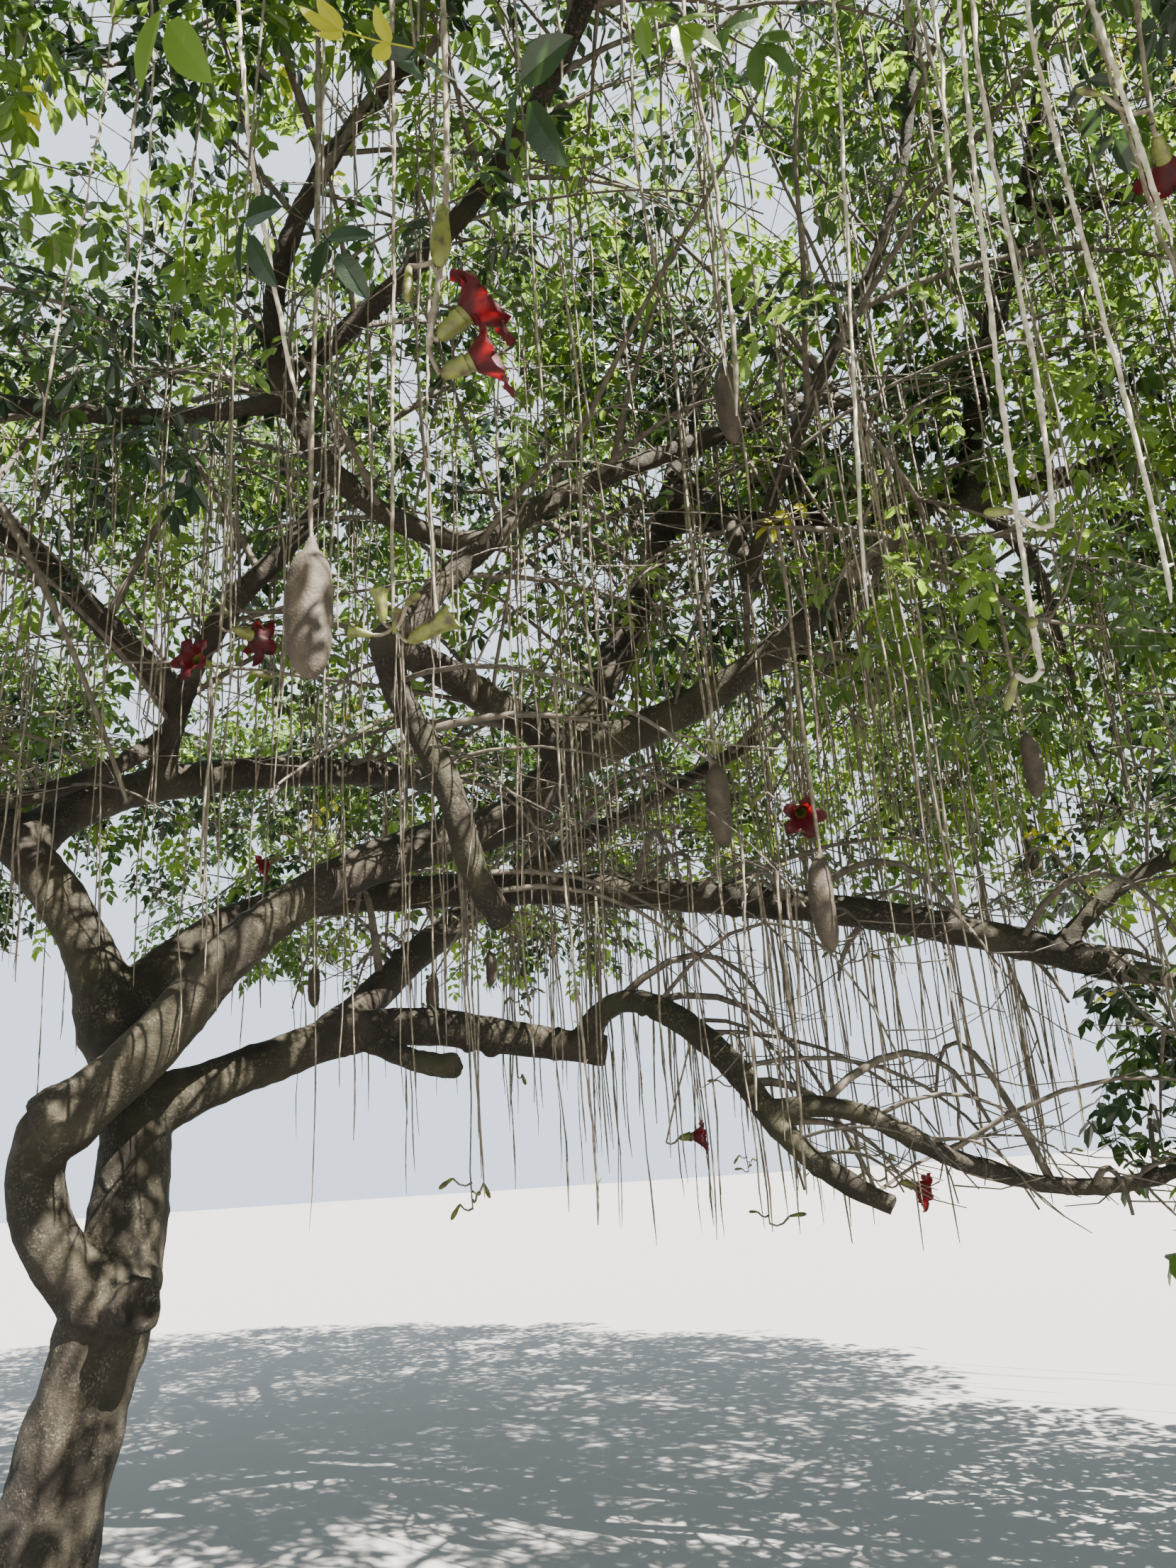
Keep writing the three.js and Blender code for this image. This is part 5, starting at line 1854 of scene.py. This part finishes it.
def material_named(name):
    material = bpy.data.materials.new(name)
    material.use_nodes = True
    nodes = material.node_tree.nodes
    nodes.clear()
    output = nodes.new("ShaderNodeOutputMaterial")
    shader = nodes.new("ShaderNodeBsdfPrincipled")
    material.node_tree.links.new(shader.outputs[0], output.inputs["Surface"])
    return material, shader, output


def noise_of(material, scale, detail, roughness=0.5):
    nodes = material.node_tree.nodes
    place = nodes.new("ShaderNodeTexCoord")
    texture = nodes.new("ShaderNodeTexNoise")
    texture.inputs["Scale"].default_value = scale
    texture.inputs["Detail"].default_value = detail
    texture.inputs["Roughness"].default_value = roughness
    material.node_tree.links.new(place.outputs["Object"], texture.inputs["Vector"])
    return texture.outputs["Fac"]


def ramp_of(material, source, *stops):
    ramp = material.node_tree.nodes.new("ShaderNodeValToRGB")
    elements = ramp.color_ramp.elements
    while len(elements) < len(stops):
        elements.new(0.5)
    for element, (place, colour) in zip(elements, stops):
        element.position = place
        element.color = (*colour, 1)
    material.node_tree.links.new(source, ramp.inputs["Fac"])
    return ramp.outputs["Color"]


def bump_from(material, shader, source, strength, distance, before=None):
    bump = material.node_tree.nodes.new("ShaderNodeBump")
    bump.inputs["Strength"].default_value = strength
    bump.inputs["Distance"].default_value = distance
    material.node_tree.links.new(source, bump.inputs["Height"])
    if before:
        material.node_tree.links.new(before.outputs["Normal"], bump.inputs["Normal"])
    material.node_tree.links.new(bump.outputs["Normal"], shader.inputs["Normal"])
    return bump


def mixed_colour(material, kind, factor, first, second):
    mix = material.node_tree.nodes.new("ShaderNodeMix")
    mix.data_type = "RGBA"
    mix.blend_type = kind
    links = material.node_tree.links
    if isinstance(factor, float):
        mix.inputs[0].default_value = factor
    else:
        links.new(factor, mix.inputs[0])
    links.new(first, mix.inputs[6])
    links.new(second, mix.inputs[7])
    return mix.outputs[2]


def let_light_through(material, shader, output, glow, share):
    nodes = material.node_tree.nodes
    links = material.node_tree.links
    through = nodes.new("ShaderNodeBsdfTranslucent")
    through.inputs["Color"].default_value = (*glow, 1)
    mix = nodes.new("ShaderNodeMixShader")
    mix.inputs["Fac"].default_value = share
    links.new(shader.outputs[0], mix.inputs[1])
    links.new(through.outputs[0], mix.inputs[2])
    links.new(mix.outputs[0], output.inputs["Surface"])


def bark_material():
    """Grey-brown bark with broad light and dark areas, small pale flecks and fine wrinkles."""
    material, shader, _ = material_named("bark")
    broad = noise_of(material, 2.6, 5, 0.62)
    dark, middling, fair = (0.010, 0.0075, 0.005), (0.023, 0.018, 0.012), (0.050, 0.041, 0.028)
    tone = ramp_of(material, broad, (0.3, dark), (0.5, middling), (0.7, fair))
    fleck = noise_of(material, 85.0, 3, 0.6)
    flecks = ramp_of(material, fleck, (0.52, BLACK), (0.64, (0.85, 0.85, 0.85)))
    patches = ramp_of(material, noise_of(material, 7.0, 5, 0.7), (0.42, BLACK), (0.66, WHITE))
    amount = mixed_colour(material, "MULTIPLY", 1.0, flecks, patches)
    pale = (0.3, (0.066, 0.056, 0.040)), (0.7, (0.15, 0.133, 0.097))
    light = ramp_of(material, noise_of(material, 20.0, 3), *pale)
    colour = mixed_colour(material, "MIX", amount, tone, light)
    green = noise_of(material, 1.3, 3)
    mossy = ramp_of(material, green, (0.45, WHITE), (0.72, (0.80, 0.92, 0.62)))
    colour = mixed_colour(material, "MULTIPLY", 1.0, colour, mossy)
    material.node_tree.links.new(colour, shader.inputs["Base Color"])
    shader.inputs["Roughness"].default_value = 0.86
    shader.inputs["Specular IOR Level"].default_value = 0.3
    wrinkle = noise_of(material, 24.0, 9, 0.72)
    coarse = bump_from(material, shader, broad, 0.5, 0.03)
    middle = bump_from(material, shader, wrinkle, 0.9, 0.016, coarse)
    bump_from(material, shader, fleck, 0.5, 0.005, middle)
    return material


def wood_material(name):
    dark, light, scale = WOOD_LOOKS[name]
    material, shader, _ = material_named(name)
    grain = noise_of(material, scale, 4, 0.6)
    colour = ramp_of(material, grain, (0.3, dark), (0.7, light))
    material.node_tree.links.new(colour, shader.inputs["Base Color"])
    shader.inputs["Roughness"].default_value = 0.82
    bump_from(material, shader, grain, 0.5, 0.006)
    return material


def fruit_material():
    """Cloudy brown with small pale dots."""
    material, shader, _ = material_named("fruit")
    links = material.node_tree.links
    cloud = noise_of(material, 14.0, 5, 0.6)
    tone = ramp_of(material, cloud, (0.3, (0.022, 0.015, 0.009)), (0.7, (0.062, 0.046, 0.029)))
    place = material.node_tree.nodes.new("ShaderNodeTexCoord")
    cells = material.node_tree.nodes.new("ShaderNodeTexVoronoi")
    cells.inputs["Scale"].default_value = 95.0
    links.new(place.outputs["Object"], cells.inputs["Vector"])
    spots = cells.outputs["Distance"]
    dots = ramp_of(material, spots, (0.12, (0.13, 0.11, 0.08)), (0.2, BLACK))
    colour = mixed_colour(material, "LIGHTEN", 0.75, tone, dots)
    links.new(colour, shader.inputs["Base Color"])
    shader.inputs["Roughness"].default_value = 0.78
    bump_from(material, shader, spots, 0.35, 0.004)
    return material


def petal_material():
    material, shader, output = material_named("petal")
    cloud = noise_of(material, 26.0, 4)
    dark, light = (0.006, 0.0008, 0.0015), (0.048, 0.002, 0.0035)
    colour = ramp_of(material, cloud, (0.35, dark), (0.72, light))
    material.node_tree.links.new(colour, shader.inputs["Base Color"])
    shader.inputs["Roughness"].default_value = 0.62
    shader.inputs["Specular IOR Level"].default_value = 0.25
    bump_from(material, shader, noise_of(material, 150.0, 3), 0.4, 0.003)
    let_light_through(material, shader, output, (0.42, 0.008, 0.012), 0.14)
    return material


def calyx_material():
    material, shader, _ = material_named("calyx")
    cloud = noise_of(material, 34.0, 3)
    brown, green, pale = (0.036, 0.021, 0.007), (0.066, 0.070, 0.009), (0.110, 0.125, 0.014)
    colour = ramp_of(material, cloud, (0.34, brown), (0.46, green), (0.68, pale))
    material.node_tree.links.new(colour, shader.inputs["Base Color"])
    shader.inputs["Roughness"].default_value = 0.55
    bump_from(material, shader, noise_of(material, 120.0, 3), 0.4, 0.003)
    return material


def leaf_material(name, dark, light, glow, glow_share, roughness):
    """A leaf lets light through, so the shader is part glossy and part translucent."""
    material, shader, output = material_named(name)
    mottle = noise_of(material, 7.0, 3)
    colour = ramp_of(material, mottle, (0.32, dark), (0.68, light))
    material.node_tree.links.new(colour, shader.inputs["Base Color"])
    shader.inputs["Roughness"].default_value = roughness
    shader.inputs["Specular IOR Level"].default_value = 0.45
    bump_from(material, shader, noise_of(material, 220.0, 2), 0.25, 0.002)
    let_light_through(material, shader, output, glow, glow_share)
    return material


# Scene

def add_floor():
    half = FLOOR["half"]
    mesh = bpy.data.meshes.new("floor")
    corners = [(-half, -half, 0), (half, -half, 0), (half, half, 0), (-half, half, 0)]
    mesh.from_pydata(corners, [], [(0, 1, 2, 3)])
    material, shader, _ = material_named("floor")
    shader.inputs["Base Color"].default_value = FLOOR["colour"]
    shader.inputs["Roughness"].default_value = FLOOR["roughness"]
    mesh.materials.append(material)
    floor = bpy.data.objects.new("floor", mesh)
    floor.location.z = FLOOR["height"]
    bpy.context.scene.collection.objects.link(floor)


def add_light():
    world = bpy.data.worlds.new("sky")
    world.use_nodes = True
    shade = world.node_tree.nodes["Background"]
    shade.inputs["Color"].default_value = SKY["colour"]
    shade.inputs["Strength"].default_value = SKY["strength"]
    bpy.context.scene.world = world
    sun = bpy.data.lights.new("sun", "SUN")
    sun.energy = SUN["energy"]
    sun.angle = math.radians(SUN["angle"])
    sun.color = SUN["colour"]
    lamp = bpy.data.objects.new("sun", sun)
    lamp.rotation_euler = Vector(SUN_FROM).to_track_quat("Z", "Y").to_euler()
    bpy.context.scene.collection.objects.link(lamp)


def add_camera():
    camera = bpy.data.cameras.new("camera")
    camera.sensor_width = SENSOR
    camera.sensor_fit = "AUTO"
    camera.lens = FOCAL_PIXELS / IMAGE[1] * SENSOR
    camera.clip_end = CLIP_END
    ahead, right, up = camera_axes()
    holder = bpy.data.objects.new("camera", camera)
    turn = Matrix(np.stack([right, up, -ahead], -1).tolist()).to_4x4()
    holder.matrix_world = Matrix.Translation(Vector(CAMERA_PLACE) * MM) @ turn
    bpy.context.scene.collection.objects.link(holder)
    bpy.context.scene.camera = holder


def hang_fruits(heaps, grown, points, draw):
    for mass in grown.values():
        for fruit in mass["fruits"]:
            top = fruit["top"]
            height = fruit["foot"] + fruit["length"] * FRUIT_STALK["top"]
            route = [top, [top[0], top[1], height]]
            add_rope(heaps["stalks"], route, STALK_GIRTH, draw, FRUIT_STALK["sway"])
            add_fruit(heaps["fruits"], top, fruit["foot"], fruit["length"], fruit["girth"], draw)
    for pixel, y, length, girth in SMALL_FRUITS:
        place = seen_at(pixel, y)
        route = [carrier_above(points, place), place - UP * SMALL_STALK["below"]]
        add_rope(heaps["stalks"], route, SMALL_STALK["girth"], draw, SMALL_STALK["sway"])
        add_fruit(heaps["fruits"], place, place[2] - length, length, girth, draw)


def hang_shown_ropes(heaps, points, draw):
    # The stalks that show take the paler copy of the stalk colours, which is painted sunlight
    stalks = heaps["sun_painted_stalks"]
    for high_pixel, foot_pixel, y, buds in SHOWN_ROPES:
        high = seen_at(high_pixel, y)
        route = [carrier_above(points, high), high, seen_at(foot_pixel, y)]
        path = add_rope(stalks, route, SHOWN_GIRTH, draw, tip=FLOWER_TIP if buds else ROPE_TIP)
        if buds:
            add_cluster(stalks, heaps, path[-1], buds, 0, draw)


def hang_seeded_ropes(heaps, points, draw):
    stalks = heaps["stalks"]
    for index, (rope, girth) in enumerate(seeded_ropes(points)):
        if index % FLOWER_EVERY == 0 and eye_distance(rope[-1]) > FLOWERS_BEYOND:
            path = add_rope(stalks, rope, max(girth, BLOOM_GIRTH), draw, tip=FLOWER_TIP)
            buds = 1 + int(draw() * SEEDED_BUDS)
            add_cluster(stalks, heaps, path[-1], buds, int(draw() * (1 + FLOWER_CHANCE)), draw)
        else:
            add_rope(stalks, rope, girth, draw)


def hang_shown_flowers(heaps, points, draw):
    stalks = heaps["stalks"]
    route = np.array([seen_at(pixel, FLOWERS_Y) for pixel in FLOWER_STALK])
    whole_route = [carrier_above(points, route[0]), *route]
    add_rope(stalks, whole_route, SMALL_STALK["girth"], draw, SMALL_STALK["sway"])
    starts = [point_on(route, share) for share in np.linspace(0, 1, 21)]

    def side_stalk(place):
        """A short thin stalk to a flower, from a little above it on the main one."""
        sag = STALK_SAG["flower"]
        start = min(starts, key=lambda point: abs(point[2] - place[2] - sag))
        add_thin_stalk(stalks, start, (start + place) / 2 - UP * sag, place, FLOWER_SIDE_STALK)

    for pixel, forward, scale in SHOWN_FLOWERS:
        place = seen_at(pixel, FLOWERS_Y)
        side_stalk(place)
        add_flower(heaps, place, forward, scale, draw)
    for pixel, forward, length in SHOWN_BUDS:
        place = seen_at(pixel, FLOWERS_Y)
        side_stalk(place)
        add_bud(heaps, place, forward, length, draw)
    hub = seen_at(SHOWN_CLUSTERS[0][0], CUPS_Y)
    for pixel, forward, length in SHOWN_CUPS:
        place = seen_at(pixel, CUPS_Y)
        bend = (hub + place) / 2 - UP * STALK_SAG["cup"]
        add_thin_stalk(stalks, hub, bend, place, CUP_STALK)
        add_bell(heaps["calyces"], place, forward, OLD_CUP, length, length, draw)
    for pixel, y, buds, flowers in SHOWN_CLUSTERS:
        place = seen_at(pixel, y)
        route = [carrier_above(points, place), place]
        add_rope(stalks, route, SHOWN_GIRTH, draw, CLUSTER["sway"], FLOWER_TIP)
        add_cluster(stalks, heaps, place, buds, flowers, draw)


def hang_everything(grown, points):
    draw = random_source(SEEDS["hanging"])
    heaps = {name: Heap() for name in ("stalks", "sun_painted_stalks", "fruits", "petals", "calyces")}
    hang_fruits(heaps, grown, points, draw)
    hang_shown_ropes(heaps, points, draw)
    hang_seeded_ropes(heaps, points, draw)
    hang_shown_flowers(heaps, points, draw)
    piece_from("stalks", heaps["stalks"], wood_material("stalk"))
    # The paler colours of this piece are painted sunlight on the stalks that show
    piece_from("sun_painted_stalks", heaps["sun_painted_stalks"], wood_material("sun_painted_stalk"))
    piece_from("fruits", heaps["fruits"], fruit_material())
    piece_from("petals", heaps["petals"], petal_material())
    piece_from("calyces", heaps["calyces"], calyx_material())


def build_wood(grown, growth):
    heap = Heap()
    for mass in grown.values():
        add_mass_wood(heap, mass)
    add_growth_wood(heap, growth)
    piece = piece_from("twigs", heap, wood_material("twig_bark"))
    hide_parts(*MASS_NAMES)


def main():
    grown = grow_masses()
    growth = Growth()
    for name in MASS_NAMES:
        grow_finer(name, grown[name], growth)
    grow_sides(growth)
    points = carriers(grown, growth)
    draw = random_source(SEEDS["shown_leaves"])
    for row in SHOWN_LEAVES:
        shown_leaf(row, points, growth, draw)
    build_bark(bark_material())
    build_wood(grown, growth)
    build_leaves(growth)
    hang_everything(grown, points)
    add_floor()
    add_light()
    add_camera()


main()
